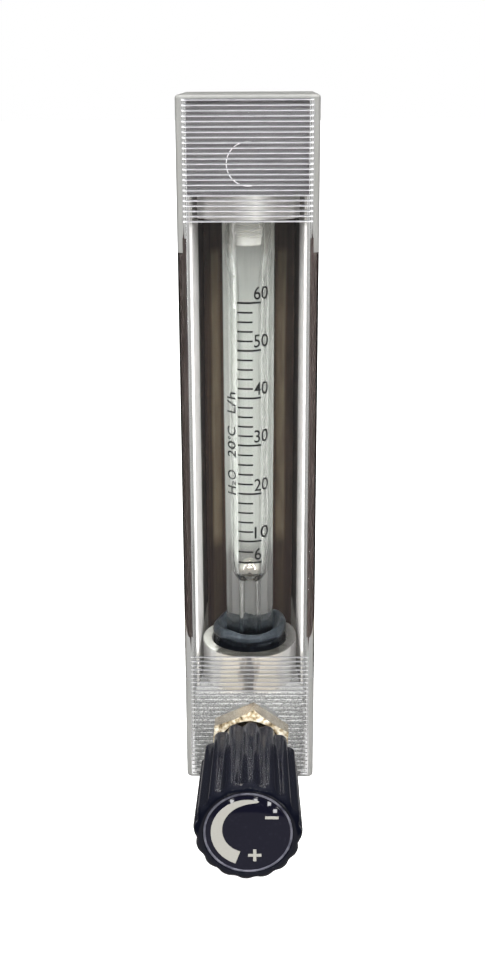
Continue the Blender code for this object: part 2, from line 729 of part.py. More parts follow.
def make_block_screws():
    """Countersunk screws through the channel into the blocks."""
    top = -0.1 * MM
    edge = 0.4 * MM
    profile = [
        (0, top),
        (SCREW_HEAD_RADIUS, top),
        (SCREW_RADIUS, top - SCREW_HEAD_DEPTH),
        (SCREW_RADIUS, -SCREW_LENGTH + edge),
        (SCREW_RADIUS - edge, -SCREW_LENGTH),
        (0, -SCREW_LENGTH),
    ]
    for label, x, height in screw_places():
        place = (x, 0, height)
        screw = turned(f"block_screw_{label}", profile, place, BACKWARD, ZINC, steps=COARSE)
        cut_cross(screw, 0.6 * MM, 2.8 * MM, top - 0.9 * MM, MM)


def main():
    make_back_channel()
    make_front_cover()
    make_top_block()
    make_bottom_block()
    make_glass_tube()
    make_ball_float()
    make_upper_float_stop()
    make_tube_seals()
    make_connector("upper", PORT_HEIGHT)
    make_connector("lower", -PORT_HEIGHT)
    make_valve_bonnet()
    make_valve_spindle()
    make_knob()
    make_knob_cap()
    make_knob_screw()
    make_block_screws()


main()
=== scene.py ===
"""Looks for the panel flowmeter: fine visual pieces, materials, studio light and camera.

Metres, +Z up, in the CAD's frame: the origin is the centre of the housing's rear face, and
the front faces -Y. Outer sizes and places are read from the CAD.
"""

import math

import bmesh
import bpy
from mathutils import Matrix, Vector, noise


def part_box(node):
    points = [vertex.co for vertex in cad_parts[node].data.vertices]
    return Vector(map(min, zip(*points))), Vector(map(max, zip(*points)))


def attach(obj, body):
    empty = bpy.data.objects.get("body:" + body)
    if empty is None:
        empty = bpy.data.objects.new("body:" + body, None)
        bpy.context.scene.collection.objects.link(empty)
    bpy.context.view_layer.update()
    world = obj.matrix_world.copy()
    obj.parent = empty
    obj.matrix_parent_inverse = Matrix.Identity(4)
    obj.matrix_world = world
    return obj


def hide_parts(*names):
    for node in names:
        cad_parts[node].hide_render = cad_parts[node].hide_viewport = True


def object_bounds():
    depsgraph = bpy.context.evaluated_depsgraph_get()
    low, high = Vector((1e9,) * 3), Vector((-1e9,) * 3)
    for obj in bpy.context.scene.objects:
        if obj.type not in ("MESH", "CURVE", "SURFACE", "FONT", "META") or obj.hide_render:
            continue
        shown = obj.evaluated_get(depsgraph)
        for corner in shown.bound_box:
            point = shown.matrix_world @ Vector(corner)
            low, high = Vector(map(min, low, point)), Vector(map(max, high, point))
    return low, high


MM = 0.001

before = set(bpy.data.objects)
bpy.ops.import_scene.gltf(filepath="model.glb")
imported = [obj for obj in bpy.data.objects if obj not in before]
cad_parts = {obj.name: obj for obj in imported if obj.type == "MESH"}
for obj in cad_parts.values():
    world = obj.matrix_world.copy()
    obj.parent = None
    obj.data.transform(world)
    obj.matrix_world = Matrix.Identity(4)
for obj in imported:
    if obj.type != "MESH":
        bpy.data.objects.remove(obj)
CAD_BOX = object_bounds()


def grey(level):
    return (level, level, level)


# Housing
COVER_LOW, COVER_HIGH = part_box("front_cover")
HALF_WIDTH = COVER_HIGH.x
HALF_HEIGHT = COVER_HIGH.z
FRONT = COVER_LOW.y
COVER_WALL = 1.7 * MM
COVER_END_WALL = 0.8 * MM
SIDE_ROUND = 1.1 * MM
TOP_ROUND = 0.6 * MM
FOOT_ROUND = 0.7 * MM
RIB_PITCH = 1.0 * MM
UPPER_GROOVES = 24
LOWER_GROOVES = 29
GROOVE_WIDTH = 0.36 * MM
GROOVE_DEPTH = 0.2 * MM
GROOVE_END = 12.9 * MM
GROOVE_RUNOUT = 0.5 * MM
EDGE_SHADE_HEIGHTS = (-49 * MM, 43 * MM)  # heights between which the cover's rear edge is painted dark, as painted shade
MARK_HEIGHT = 60 * MM
MARK_RADIUS = 4.3 * MM
INNER_SIDE = HALF_WIDTH - COVER_WALL
INNER_FRONT = FRONT + COVER_WALL

# Channel
CHANNEL_LOW, CHANNEL_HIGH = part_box("back_channel")
SHEET = 0.6 * MM
BEND = 1.1 * MM

# Blocks
TOP_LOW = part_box("top_block")[0]
FOOT_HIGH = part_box("bottom_block")[1]
BLOCK_HALF_WIDTH = 11.0 * MM
LIP_THICKNESS = 3 * MM
BOSS_RADIUS = 10.9 * MM
UPPER_BLOCK_FACE = 54 * MM
LOWER_BLOCK_FACE = -53 * MM
SOCKET_RADIUS = 6.3 * MM
SOCKET_FLOOR = -11.7 * MM

# Tube and float
TUBE_LOW, TUBE_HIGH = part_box("glass_tube")
TUBE_Y = (TUBE_LOW.y + TUBE_HIGH.y) / 2
TUBE_AXIS = (0, TUBE_Y, 0)
TUBE_FOOT_RADIUS = 5.15 * MM
TUBE_TOP_RADIUS = TUBE_HIGH.x
BALL_LOW, BALL_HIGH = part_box("ball_float")
STOP_LOW, STOP_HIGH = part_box("upper_float_stop")
STOP_RADIUS = 3.1 * MM
BARBS = 8
BARB_PITCH = 0.5 * MM
COLLAR_LOW, COLLAR_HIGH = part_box("lower_tube_seal")
COLLAR_RIM = -40.3 * MM
COLLAR_TUCK = -43.3 * MM

# Valve, as distances in front of the housing's rear face
VALVE_HEIGHT = sum(corner.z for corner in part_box("knob_cap")) / 2
VALVE_AXIS = (0, 0, VALVE_HEIGHT)
PORT_HEIGHT = -VALVE_HEIGHT
DEPTH = -FRONT
BONNET_FRONT = -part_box("valve_bonnet")[0].y
HEX_REAR = DEPTH + 2.6 * MM
HEX_FRONT = DEPTH + 7.5 * MM
HEX_FLATS = 16 * MM
HEX_TILT = math.radians(5.6)
THREAD_RADIUS = 6.0 * MM
KNOB_REAR = -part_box("knob")[1].y
KNOB_FRONT = -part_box("knob")[0].y
STEM_FRONT = -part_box("valve_spindle")[0].y
FLUTES = 16
FLUTE_DEPTH = 0.9 * MM
FLUTE_TURN = math.radians(-3)
CAP_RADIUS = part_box("knob_cap")[1].x
CAP_FACE = -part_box("knob_cap")[0].y - 0.15 * MM

# Rear connectors, as distances behind the housing's rear face
SHANK_END = 13 * MM
TAIL_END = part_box("upper_connector")[1].y
THREAD_PITCH = 1.5 * MM
THREAD_DEPTH = 0.55 * MM

# Printed scale: litres an hour, with the height of each line above the housing's foot
SCALE = {6: 48.2, 10: 53.11, 20: 63.85, 30: 74.59, 40: 84.85, 50: 94.94, 60: 104.87}
MINOR_STEP = 2
INK_LIFT = 0.01 * MM
INK_THICKNESS = 0.02 * MM

# Heights beyond which the channel is painted darker near the blocks, as painted shade
WEB_DARK_ABOVE = (38.5 * MM, 40.5 * MM)
WEB_DARK_BELOW = (-27 * MM, -31 * MM)
UPPER_RIBS = (47.5 * MM, 48.5 * MM)
LOWER_RIBS = (-44.5 * MM, -45.5 * MM)
FLANGE_SHADE_DEPTHS = (-15.5 * MM, -13.5 * MM)  # the depths between which the flanges turn dark, a painted shade towards the rear

# Light that the acrylic carries to the bosses' sides, which the lamps hardly reach
FLANK_GLOW = 0.13

# Painted reflections, as colours from left edge to right: the lower boss's side and top ring, and the upper
# boss's side
LOWER_BOSS_REFLECTION = [
    (0.02, grey(0.30)), (0.16, (0.36, 0.35, 0.34)), (0.26, (0.48, 0.44, 0.38)),
    (0.38, (0.52, 0.47, 0.41)), (0.45, (0.16, 0.15, 0.14)), (0.52, (0.11, 0.105, 0.10)),
    (0.58, (0.52, 0.47, 0.41)), (0.76, (0.46, 0.42, 0.37)), (0.84, (0.32, 0.31, 0.30)),
    (0.98, grey(0.28)),
]
RING_REFLECTION = [
    (0.0, (0.46, 0.46, 0.43)), (0.13, (0.36, 0.36, 0.33)), (0.20, (0.042, 0.041, 0.036)),
    (0.80, (0.030, 0.029, 0.025)), (0.90, (0.045, 0.044, 0.040)), (1.0, (0.09, 0.088, 0.082)),
]
UPPER_BOSS_REFLECTION = [
    (0.05, (0.20, 0.19, 0.185)), (0.36, (0.19, 0.18, 0.175)), (0.50, (0.36, 0.35, 0.34)),
    (0.57, (0.52, 0.505, 0.49)), (0.66, (0.30, 0.29, 0.28)), (0.76, (0.20, 0.19, 0.185)),
    (0.95, (0.20, 0.19, 0.185)),
]

# The channel's front face, from its middle line to its edge, painted with the room's reflections
WEB_REFLECTIONS = [
    (0.0, (0.95, 0.94, 0.89)), (0.40, (0.92, 0.91, 0.85)), (0.46, (0.15, 0.080, 0.050)),
    (0.54, (0.022, 0.013, 0.010)), (0.61, (0.17, 0.135, 0.090)), (0.74, (0.21, 0.175, 0.120)),
    (0.79, (0.026, 0.016, 0.012)), (0.90, (0.006, 0.004, 0.004)),
]

# Grey levels of the surroundings, from straight down to straight up
ROOM = [0.55, 0.55, 0.5, 0.9, 1.3]
ROOM_REFLECTED = [0.03, 0.04, 0.06, 0.12, 0.45]

# The floor seen by refraction, and by reflection near the front, further forward and behind
FLOOR_THROUGH = (0.46, 0.46, 0.45)
FLOOR_NEAR = (0.30, 0.29, 0.29)
FLOOR_FAR = (0.004, 0.004, 0.005)
FLOOR_BEHIND = (0.05, 0.05, 0.055)
FLOOR_EDGE = -100.5 * MM

# Small lights that the cap reflects, as distances right of its centre and above it
SPARKS = [(-3.0, 6.8), (1.5, 7.0), (4.1, 6.3), (5.2, 4.8)]

CAMERA_AT = Vector((2.94, -301.1, 77.6)) * MM
PITCH, YAW, ROLL = (math.radians(angle) for angle in (17.02, -0.92, -0.29))
LENS = 50.325

UPRIGHT = (0, 0, 0)
FORWARD = (math.pi / 2, 0, 0)  # turns local +Z to world -Y
BACKWARD = (-math.pi / 2, 0, 0)  # turns local +Z to world +Y


class Graph:
    """A node tree, with short names for the nodes that it is made from."""

    def __init__(self, tree):
        self.nodes = tree.nodes
        self.links = tree.links

    def point(self, kind):
        return self.nodes.new("ShaderNodeTexCoord").outputs[kind]

    def ray(self, kind):
        """What is known of the ray that is being traced."""
        return self.nodes.new("ShaderNodeLightPath").outputs[kind]

    def feed(self, target, value):
        if isinstance(value, bpy.types.NodeSocket):
            self.links.new(value, target)
        elif isinstance(value, tuple) and target.type == "RGBA":
            target.default_value = (*value, 1.0)
        else:
            target.default_value = value

    def axis_of(self, vector, index):
        node = self.nodes.new("ShaderNodeSeparateXYZ")
        self.feed(node.inputs[0], vector)
        return node.outputs[index]

    def span(self, source, low, high, to_low=0.0, to_high=1.0):
        """Maps low..high on to to_low..to_high, and holds the ends beyond."""
        node = self.nodes.new("ShaderNodeMapRange")
        for socket, value in zip(node.inputs, (source, low, high, to_low, to_high)):
            self.feed(socket, value)
        return node.outputs[0]

    def math(self, operation, first, second=0.0):
        node = self.nodes.new("ShaderNodeMath")
        node.operation = operation
        self.feed(node.inputs[0], first)
        self.feed(node.inputs[1], second)
        return node.outputs[0]

    def mix(self, share, first, second):
        """A blend of two colours."""
        node = self.nodes.new("ShaderNodeMix")
        node.data_type = "RGBA"
        self.feed(node.inputs[0], share)
        self.feed(node.inputs[6], first)
        self.feed(node.inputs[7], second)
        return node.outputs[2]

    def ramp(self, source, stops):
        """A colour that changes evenly between (position, colour) stops."""
        node = self.nodes.new("ShaderNodeValToRGB")
        elements = node.color_ramp.elements
        while len(elements) < len(stops):
            elements.new(1.0)
        for element, (position, colour) in zip(elements, stops):
            element.position = position
            element.color = (*colour, 1.0)
        self.feed(node.inputs[0], source)
        return node.outputs[0]

    def switch(self, share, otherwise, chosen):
        """A blend of two shaders."""
        node = self.nodes.new("ShaderNodeMixShader")
        for socket, value in zip(node.inputs, (share, otherwise, chosen)):
            self.feed(socket, value)
        return node.outputs[0]


class Finish(Graph):
    """One material."""

    def __init__(self, name, colour, roughness, metallic=0.0, **more):
        self.material = bpy.data.materials.new(name)
        self.material.use_nodes = True
        super().__init__(self.material.node_tree)
        self.shader = self.nodes["Principled BSDF"]
        self.place = self.point("Object")
        self.set("Base Color", colour)
        self.set("Roughness", roughness)
        self.set("Metallic", metallic)
        for socket, value in more.items():
            self.set(socket.replace("_", " "), value)

    def set(self, socket, value):
        self.feed(self.shader.inputs[socket], value)

    def surface(self, shader):
        self.feed(self.nodes["Material Output"].inputs["Surface"], shader)

    def axis(self, index):
        return self.axis_of(self.place, index)

    def off_axis(self):
        """The distance to either side of the middle."""
        return self.math("ABSOLUTE", self.axis(0))

    def noise(self, size, detail=3.0, stretch=(1, 1, 1), contrast=1.0):
        """Noise around 0.5 whose grains measure about size, longer along stretched axes."""
        mapping = self.nodes.new("ShaderNodeMapping")
        self.feed(mapping.inputs["Vector"], self.place)
        mapping.inputs["Scale"].default_value = [1 / (size * s) for s in stretch]
        texture = self.nodes.new("ShaderNodeTexNoise")
        texture.inputs["Scale"].default_value = 1.0
        texture.inputs["Detail"].default_value = detail
        self.feed(texture.inputs["Vector"], mapping.outputs[0])
        if contrast == 1.0:
            return texture.outputs["Fac"]
        edge = 0.5 / contrast
        return self.span(texture.outputs["Fac"], 0.5 - edge, 0.5 + edge)

    def vary(self, socket, share, low, high):
        self.set(socket, self.span(share, 0.0, 1.0, low, high))

    def mottle(self, grain, first, second):
        self.set("Base Color", self.mix(grain, first, second))

    def bump(self, height, depth):
        node = self.nodes.new("ShaderNodeBump")
        node.inputs["Distance"].default_value = depth
        self.feed(node.inputs["Height"], height)
        self.set("Normal", node.outputs[0])

    def passed(self, surfaces):
        """1 for rays that have gone through more clear surfaces than this, otherwise 0."""
        return self.math("GREATER_THAN", self.ray("Transmission Depth"), surfaces + 0.5)

    def let_lamps_through(self, tint):
        """Rays to a lamp pass through tinted but unbent, so that what is inside is lit."""
        clear = self.nodes.new("ShaderNodeBsdfTransparent")
        self.feed(clear.inputs[0], tint)
        self.surface(self.switch(self.ray("Is Shadow Ray"), self.shader.outputs[0], clear.outputs[0]))


def clear_acrylic():
    made = Finish("clear_acrylic", (0.985, 0.985, 0.982), 0.0, IOR=1.49, Transmission_Weight=1.0)
    scuffs = made.noise(3 * MM, 5, contrast=2.0)
    made.set("Roughness", made.span(scuffs, 0.75, 1.0, 0.0, 0.03))
    made.let_lamps_through((0.93, 0.94, 0.93))
    return made.material


def groove_acrylic():
    """The same acrylic in the moulded grooves, whose matt faces scatter light and look whitish.

    Over the lower block's rough casting the lines break up into bright and dark dashes, painted
    glints and shade of the casting seen through them. The lines are darker in the lower half, and
    their ends carry a painted highlight, strongest in the upper half.
    """
    made = Finish("groove_acrylic", (0.6, 0.6, 0.62), 0.35, IOR=1.49, Transmission_Weight=0.3)
    polish = made.noise(0.6 * MM, 3, stretch=(3, 1, 1), contrast=1.6)
    line = made.mix(polish, (0.33, 0.33, 0.345), (0.52, 0.52, 0.54))
    line = made.mix(made.span(made.axis(2), -MM, MM, 0.45, 0.0), line, grey(0.03))
    # Painted glints and shade of the casting seen through the grooves, as bright and dark dashes.
    grain = made.noise(0.45 * MM, 2, stretch=(1.1, 1, 0.5), contrast=5.0)
    painted_glints = made.mix(grain, grey(0.10), grey(0.52))
    over_casting = made.span(made.axis(2), LOWER_BLOCK_FACE + 0.3 * MM, LOWER_BLOCK_FACE - 0.3 * MM)
    line = made.mix(over_casting, line, painted_glints)
    at_end = made.span(made.off_axis(), GROOVE_END - 1.0 * MM, GROOVE_END - 0.5 * MM)
    # Painted highlight at the grooves' ends, strongest in the upper half.
    end_highlight = made.mix(made.span(made.axis(2), -MM, MM), grey(0.42), (0.85, 0.85, 0.86))
    made.mottle(at_end, line, end_highlight)
    return made.material


def edge_acrylic():
    """The cover's outer edges beside the blocks, which look evenly milky."""
    made = Finish("edge_acrylic", (0.3, 0.3, 0.285), 0.3, IOR=1.49, Transmission_Weight=0.35)
    haze = made.noise(2 * MM, 3, stretch=(1, 1, 5))
    made.mottle(haze, (0.24, 0.24, 0.228), (0.33, 0.33, 0.315))
    return made.material


def mark_acrylic():
    """The moulding mark's ring, matt in places."""
    made = Finish("mark_acrylic", (0.85, 0.85, 0.86), 0.3, IOR=1.49)
    made.set("Transmission Weight", made.span(made.noise(0.8 * MM, 3, contrast=2.0), 0.0, 1.0, 0.1, 0.8))
    return made.material


def worn_mark(radius, height, angle):
    """The mark stands out on its left alone, and sinks into the wall on its right."""
    return radius, height - 0.15 * MM * max(0.0, math.cos(angle) + 0.4)


def stained_edge():
    """The cover's sawn rear edge beside the window, painted dark as a painted shade and reflection
    of the dark surroundings, which darkens the side walls from the front.
    """
    made = Finish("stained_edge", (0.05, 0.03, 0.025), 0.5)
    grain = made.noise(1.2 * MM, 4, stretch=(0.2, 1, 14), contrast=1.6)
    made.set("Base Color", made.ramp(grain, [(0.0, (0.012, 0.007, 0.006)), (1.0, (0.060, 0.043, 0.038))]))
    return made.material


def tube_glass():
    made = Finish("tube_glass", (0.985, 0.985, 0.98), 0.0, IOR=1.47, Transmission_Weight=1.0)
    made.bump(made.noise(5 * MM, 1, stretch=(1, 1, 6)), 0.012 * MM)
    made.let_lamps_through((0.94, 0.95, 0.94))
    return made.material


def channel_steel():
    """Polished steel. Its front face holds long streaks of brown, olive and purple-grey: bands painted
    as reflections of the room, with fine random streaks, and painted shade of the blocks near its ends.

    Its inside is painted pale for rays that come through the round tube, a painted light, and the
    flanges are painted dark towards the rear as painted shade.
    """
    made = Finish("polished_steel", (0.5, 0.48, 0.45), 0.3, metallic=1.0)
    height = made.axis(2)
    fine = made.noise(0.5 * MM, 4, stretch=(1, 1, 60), contrast=1.6)
    wander = made.noise(7 * MM, 2, stretch=(1, 1, 9))
    across = made.math("ADD", made.off_axis(), made.span(wander, 0.3, 0.7, -0.35 * MM, 0.35 * MM))
    share = made.math("DIVIDE", across, CHANNEL_HIGH.x)
    beside_tube = made.span(share, 0.42, 0.46)
    patches = made.noise(5 * MM, 3, stretch=(0.35, 1, 2.5), contrast=1.6)
    dark_patches = made.math("MULTIPLY", beside_tube, made.span(patches, 0.0, 1.0, 0.0, 0.65))
    # Painted reflections of the room across the web, with random darker patches beside the tube.
    web = made.mix(dark_patches, made.ramp(share, WEB_REFLECTIONS), (0.055, 0.035, 0.030))
    # Painted shade of the blocks darkens the web beside the tube near its top and foot.
    near_top = made.span(height, *WEB_DARK_ABOVE)
    near_foot = made.span(height, *WEB_DARK_BELOW)
    block_shade = made.math("MULTIPLY", beside_tube, made.math("MAXIMUM", near_top, near_foot))
    web = made.mix(made.math("MULTIPLY", block_shade, 0.85), web, (0.018, 0.010, 0.012))
    web = made.mix(made.span(fine, 0.0, 1.0, 0.0, 0.10), web, (0.42, 0.28, 0.18))

    # The flanges are painted dark towards the rear and beside the blocks, as painted shade.
    bright = made.mix(fine, (0.50, 0.48, 0.48), (0.62, 0.60, 0.60))
    flange = made.mix(made.span(made.axis(1), *FLANGE_SHADE_DEPTHS), bright, (0.014, 0.010, 0.009))
    flange = made.mix(made.span(height, *UPPER_RIBS), flange, (0.26, 0.25, 0.24))
    flange = made.mix(made.span(height, *LOWER_RIBS), flange, (0.30, 0.29, 0.28))
    on_flange = made.math("GREATER_THAN", made.off_axis(), CHANNEL_HIGH.x - SHEET - 0.2 * MM)
    inside = made.mix(on_flange, web, flange)

    # Painted light: rays through the tube see a pale web, painted darker near the blocks as shade.
    pale = made.mix(fine, (0.56, 0.57, 0.55), (0.80, 0.81, 0.79))
    pale = made.mix(near_top, pale, (0.50, 0.49, 0.46))
    pale = made.mix(made.math("MULTIPLY", near_foot, 0.8), pale, (0.22, 0.21, 0.21))
    inside = made.mix(made.passed(2), inside, pale)

    on_rear = made.math("GREATER_THAN", made.axis(1), -0.3 * MM)
    on_side = made.math("GREATER_THAN", made.off_axis(), CHANNEL_HIGH.x - 0.1 * MM)
    outside = made.math("MAXIMUM", on_rear, on_side)
    made.mottle(outside, inside, made.mix(fine, grey(0.60), grey(0.72)))
    made.set("Metallic", outside)
    made.vary("Specular IOR Level", outside, 0.04, 0.5)
    made.vary("Roughness", fine, 0.26, 0.42)
    return made.material


def block_metal(name, cast_above=None, cast_below=None):
    """Cast aluminium: blasted as cast beyond the given height, and machined on the boss, whose side
    and top ring are painted with bands of reflection from left to right.
    """
    made = Finish(name, (0.5, 0.5, 0.52), 0.35, metallic=0.6)
    pits = made.noise(0.34 * MM, 3, contrast=2.4)
    height = made.axis(2)
    if cast_below is not None:
        side = made.math("DIVIDE", made.axis(0), BOSS_RADIUS)
        waver = made.span(made.noise(1.5 * MM, 2, stretch=(1, 1, 3)), 0.3, 0.7, -0.04, 0.04)
        band = made.math("ADD", made.math("MULTIPLY", side, 0.5), made.math("ADD", waver, 0.5))
        ring = made.span(height, FOOT_HIGH.z - 0.5 * MM, FOOT_HIGH.z - 0.2 * MM)
        # The boss's side and top ring are painted with bands of reflection.
        machined_reflection = made.mix(ring, made.ramp(band, LOWER_BOSS_REFLECTION), made.ramp(band, RING_REFLECTION))
        cast = made.span(height, cast_below + 0.2 * MM, cast_below - 0.2 * MM)
        made.vary("Metallic", ring, 0.35, 0.0)
        made.vary("Specular IOR Level", ring, 0.5, 0.0)
        rough = made.ramp(pits, [(i / 2, grey(level)) for i, level in enumerate((0.16, 0.36, 0.62))])
    else:
        side = made.span(made.axis(0), -BOSS_RADIUS, BOSS_RADIUS)
        turned = made.math("MULTIPLY", made.noise(0.3 * MM, 2, stretch=(8, 8, 1)), 0.2)
        # The boss's side is painted with bands of reflection, over its turning marks.
        machined_reflection = made.mix(turned, made.ramp(side, UPPER_BOSS_REFLECTION), (0.40, 0.38, 0.36))
        cast = made.span(height, cast_above - 0.2 * MM, cast_above + 0.2 * MM)
        made.vary("Metallic", cast, 0.1, 0.6)
        clouds = made.noise(4 * MM, 3, stretch=(1, 1, 2))
        rough = made.mix(clouds, (0.112, 0.108, 0.115), (0.178, 0.172, 0.178))
    made.mottle(cast, machined_reflection, rough)
    # Painted glow lifting the bosses' flanks.
    flank = made.span(made.off_axis(), 0.55 * BOSS_RADIUS, BOSS_RADIUS, 0.0, FLANK_GLOW)
    made.set("Emission Color", (1.0, 0.97, 0.94))
    made.set("Emission Strength", made.mix(cast, made.mix(flank, (0, 0, 0), (1, 1, 1)), (0, 0, 0)))
    made.vary("Roughness", cast, 0.28, 0.42)
    made.bump(made.math("MULTIPLY", pits, cast), 0.05 * MM if cast_below is not None else 0.01 * MM)
    return made.material


def ball_steel():
    made = Finish("ball_steel", (0.80, 0.76, 0.70), 0.08, metallic=1.0)
    made.set("Roughness", made.span(made.noise(0.6 * MM, 3), 0.3, 0.7, 0.04, 0.12))
    return made.material


def white_plastic():
    made = Finish("white_plastic", (0.7, 0.69, 0.66), 0.35, IOR=1.5)
    tone = made.noise(1.0 * MM, 3)
    made.mottle(tone, (0.62, 0.61, 0.58), (0.76, 0.75, 0.72))
    made.set("Subsurface Weight", 0.3)
    made.shader.inputs["Subsurface Radius"].default_value = (0.6 * MM, 0.6 * MM, 0.5 * MM)
    made.shader.inputs["Subsurface Scale"].default_value = 1.0
    made.bump(made.noise(0.2 * MM, 2), 0.01 * MM)
    return made.material


def seal_rubber():
    made = Finish("seal_rubber", (0.03, 0.036, 0.048), 0.4)
    bloom = made.noise(1.6 * MM, 4, contrast=1.8)
    black, dull, pale = (0.006, 0.008, 0.010), (0.018, 0.023, 0.029), (0.055, 0.065, 0.075)
    tone = made.ramp(bloom, [(0.0, black), (0.6, dull), (1.0, pale)])
    # Painted shade: below the wavy fold the rubber is painted near black.
    uneven = made.span(made.noise(1.8 * MM, 2), 0.0, 1.0, -0.8 * MM, 0.8 * MM)
    level = made.math("ADD", made.axis(2), uneven)
    out_of_fold_shade = made.span(level, COLLAR_TUCK - 0.5 * MM, COLLAR_TUCK + 0.9 * MM)
    made.mottle(out_of_fold_shade, (0.0015, 0.002, 0.003), tone)
    made.vary("Roughness", bloom, 0.3, 0.55)
    made.vary("Specular IOR Level", out_of_fold_shade, 0.0, 0.25)
    made.bump(made.noise(0.8 * MM, 3), 0.12 * MM)
    return made.material


def nickelled_brass():
    made = Finish("nickelled_brass", (0.75, 0.64, 0.48), 0.2, metallic=1.0)
    wear = made.noise(2.0 * MM, 4, contrast=1.4)
    made.mottle(wear, (0.74, 0.65, 0.54), (0.93, 0.85, 0.70))
    drawn = made.noise(0.4 * MM, 2, stretch=(6, 1, 6))
    made.set("Roughness", made.span(drawn, 0.3, 0.7, 0.16, 0.26))
    return made.material


def bright_chamfer():
    """The bonnet's bright front chamfer, painted in patches of gold, dark and white as its reflections."""
    made = Finish("bright_chamfer", (0.9, 0.75, 0.5), 0.35, metallic=0.5)
    patches = made.noise(1.1 * MM, 3, contrast=2.4)
    dark, gold, white = (0.05, 0.03, 0.015), (0.40, 0.31, 0.18), (0.95, 0.90, 0.76)
    made.set("Base Color", made.ramp(patches, [(0.1, dark), (0.4, gold), (0.9, white)]))
    return made.material


def zinc_plate():
    made = Finish("zinc_plate", (0.62, 0.62, 0.60), 0.32, metallic=1.0)
    clouds = made.noise(1.5 * MM, 5, contrast=1.5)
    made.mottle(clouds, (0.52, 0.53, 0.54), (0.72, 0.71, 0.66))
    made.vary("Roughness", clouds, 0.24, 0.42)
    return made.material


def knob_plastic():
    made = Finish("knob_plastic", (0.003, 0.0035, 0.007), 0.12, IOR=1.5, Specular_IOR_Level=0.5)
    flow = made.noise(3.0 * MM, 4)
    made.set("Roughness", made.span(flow, 0.3, 0.7, 0.07, 0.17))
    made.bump(made.noise(2.5 * MM, 1, stretch=(1, 1, 4)), 0.006 * MM)
    return made.material


def cap_plastic():
    made = Finish("cap_plastic", (0.005, 0.005, 0.011), 0.03, IOR=1.5)
    dust = made.span(made.noise(0.5 * MM, 2, contrast=3.0), 0.95, 1.0)
    made.mottle(dust, (0.005, 0.005, 0.011), (0.010, 0.010, 0.018))
    made.bump(made.noise(2.5 * MM, 2), 0.004 * MM)
    return made.material


def cap_rim_plastic():
    """The cap's raised rim, painted lighter than its face as an uneven painted highlight."""
    made = Finish("cap_rim", (0.09, 0.09, 0.12), 0.25, IOR=1.5)
    rim_highlight = made.noise(2 * MM, 3, contrast=2.0)
    made.mottle(rim_highlight, (0.03, 0.03, 0.045), (0.14, 0.14, 0.165))
    return made.material


def ink(name, dark, light):
    made = Finish(name, dark, 0.7, Specular_IOR_Level=0.1)
    made.mottle(made.noise(0.3 * MM, 3), dark, light)
    return made.material


ACRYLIC = clear_acrylic()
GROOVE = groove_acrylic()
MARK = mark_acrylic()
MILKY = edge_acrylic()
SHADED_EDGE = stained_edge()
GLASS = tube_glass()
STEEL = channel_steel()
TOP_METAL = block_metal("cast_aluminium_top", cast_above=UPPER_BLOCK_FACE)
FOOT_METAL = block_metal("cast_aluminium_foot", cast_below=LOWER_BLOCK_FACE)
BALL = ball_steel()
WHITE = white_plastic()
RUBBER = seal_rubber()
NICKEL = nickelled_brass()
CHAMFER_REFLECTION = bright_chamfer()
ZINC = zinc_plate()
KNOB_BLACK = knob_plastic()
CAP_BLACK = cap_plastic()
CAP_RIM = cap_rim_plastic()
SCALE_INK = ink("scale_ink", (0.002, 0.002, 0.003), (0.006, 0.006, 0.007))
CAP_INK = ink("cap_ink", (0.28, 0.275, 0.25), (0.34, 0.33, 0.30))


def smooth(mesh, sharp):
    mesh.shade_smooth()
    mesh.set_sharp_from_angle(angle=math.radians(sharp))


def add(name, form, finish, place=(0, 0, 0), turn=UPRIGHT, sharp=30):
    """Makes an object of a bmesh. Cutters are given no finish."""
    mesh = bpy.data.meshes.new(name)
    bmesh.ops.recalc_face_normals(form, faces=form.faces)
    form.to_mesh(mesh)
    form.free()
    smooth(mesh, sharp)
    if finish:
        mesh.materials.append(finish)
    obj = bpy.data.objects.new(name, mesh)
    obj.location = place
    obj.rotation_euler = turn
    bpy.context.scene.collection.objects.link(obj)
    return obj


def show(obj, node=None, body="housing"):
    """The piece rides on a body. Most pieces stand for a CAD node, which is hidden."""
    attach(obj, body)
    if node:
        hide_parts(node)


def rounded(points, radius, steps=3, ring=False):
    """The line with its corners rounded, as far as the sides beside each corner allow."""
    count = len(points)
    line = []
    for i, point in enumerate(points):
        corner = Vector(point)
        if not ring and i in (0, count - 1):
            line.append(corner)
            continue
        before = Vector(points[i - 1]) - corner
        after = Vector(points[(i + 1) % count]) - corner
        straight = before.angle(after, math.pi) > math.radians(177)
        if straight:
            line.append(corner)
            continue
        start = corner + before.normalized() * min(radius, 0.45 * before.length)
        end = corner + after.normalized() * min(radius, 0.45 * after.length)
        for step in range(steps + 1):
            t = step / steps
            line.append(start * (1 - t) ** 2 + corner * 2 * t * (1 - t) + end * t**2)
    return [tuple(point) for point in line]


def join_loops(form, loops, closed=False, capped=False):
    """Faces between neighbouring loops of the same number of points, and over the two end loops."""
    pairs = list(zip(loops, loops[1:]))
    if closed:
        pairs.append((loops[-1], loops[0]))
    for first, second in pairs:
        for i in range(len(first)):
            form.faces.new((first[i - 1], second[i - 1], second[i], first[i]))
    if capped:
        form.faces.new(loops[0])
        form.faces.new(loops[-1])


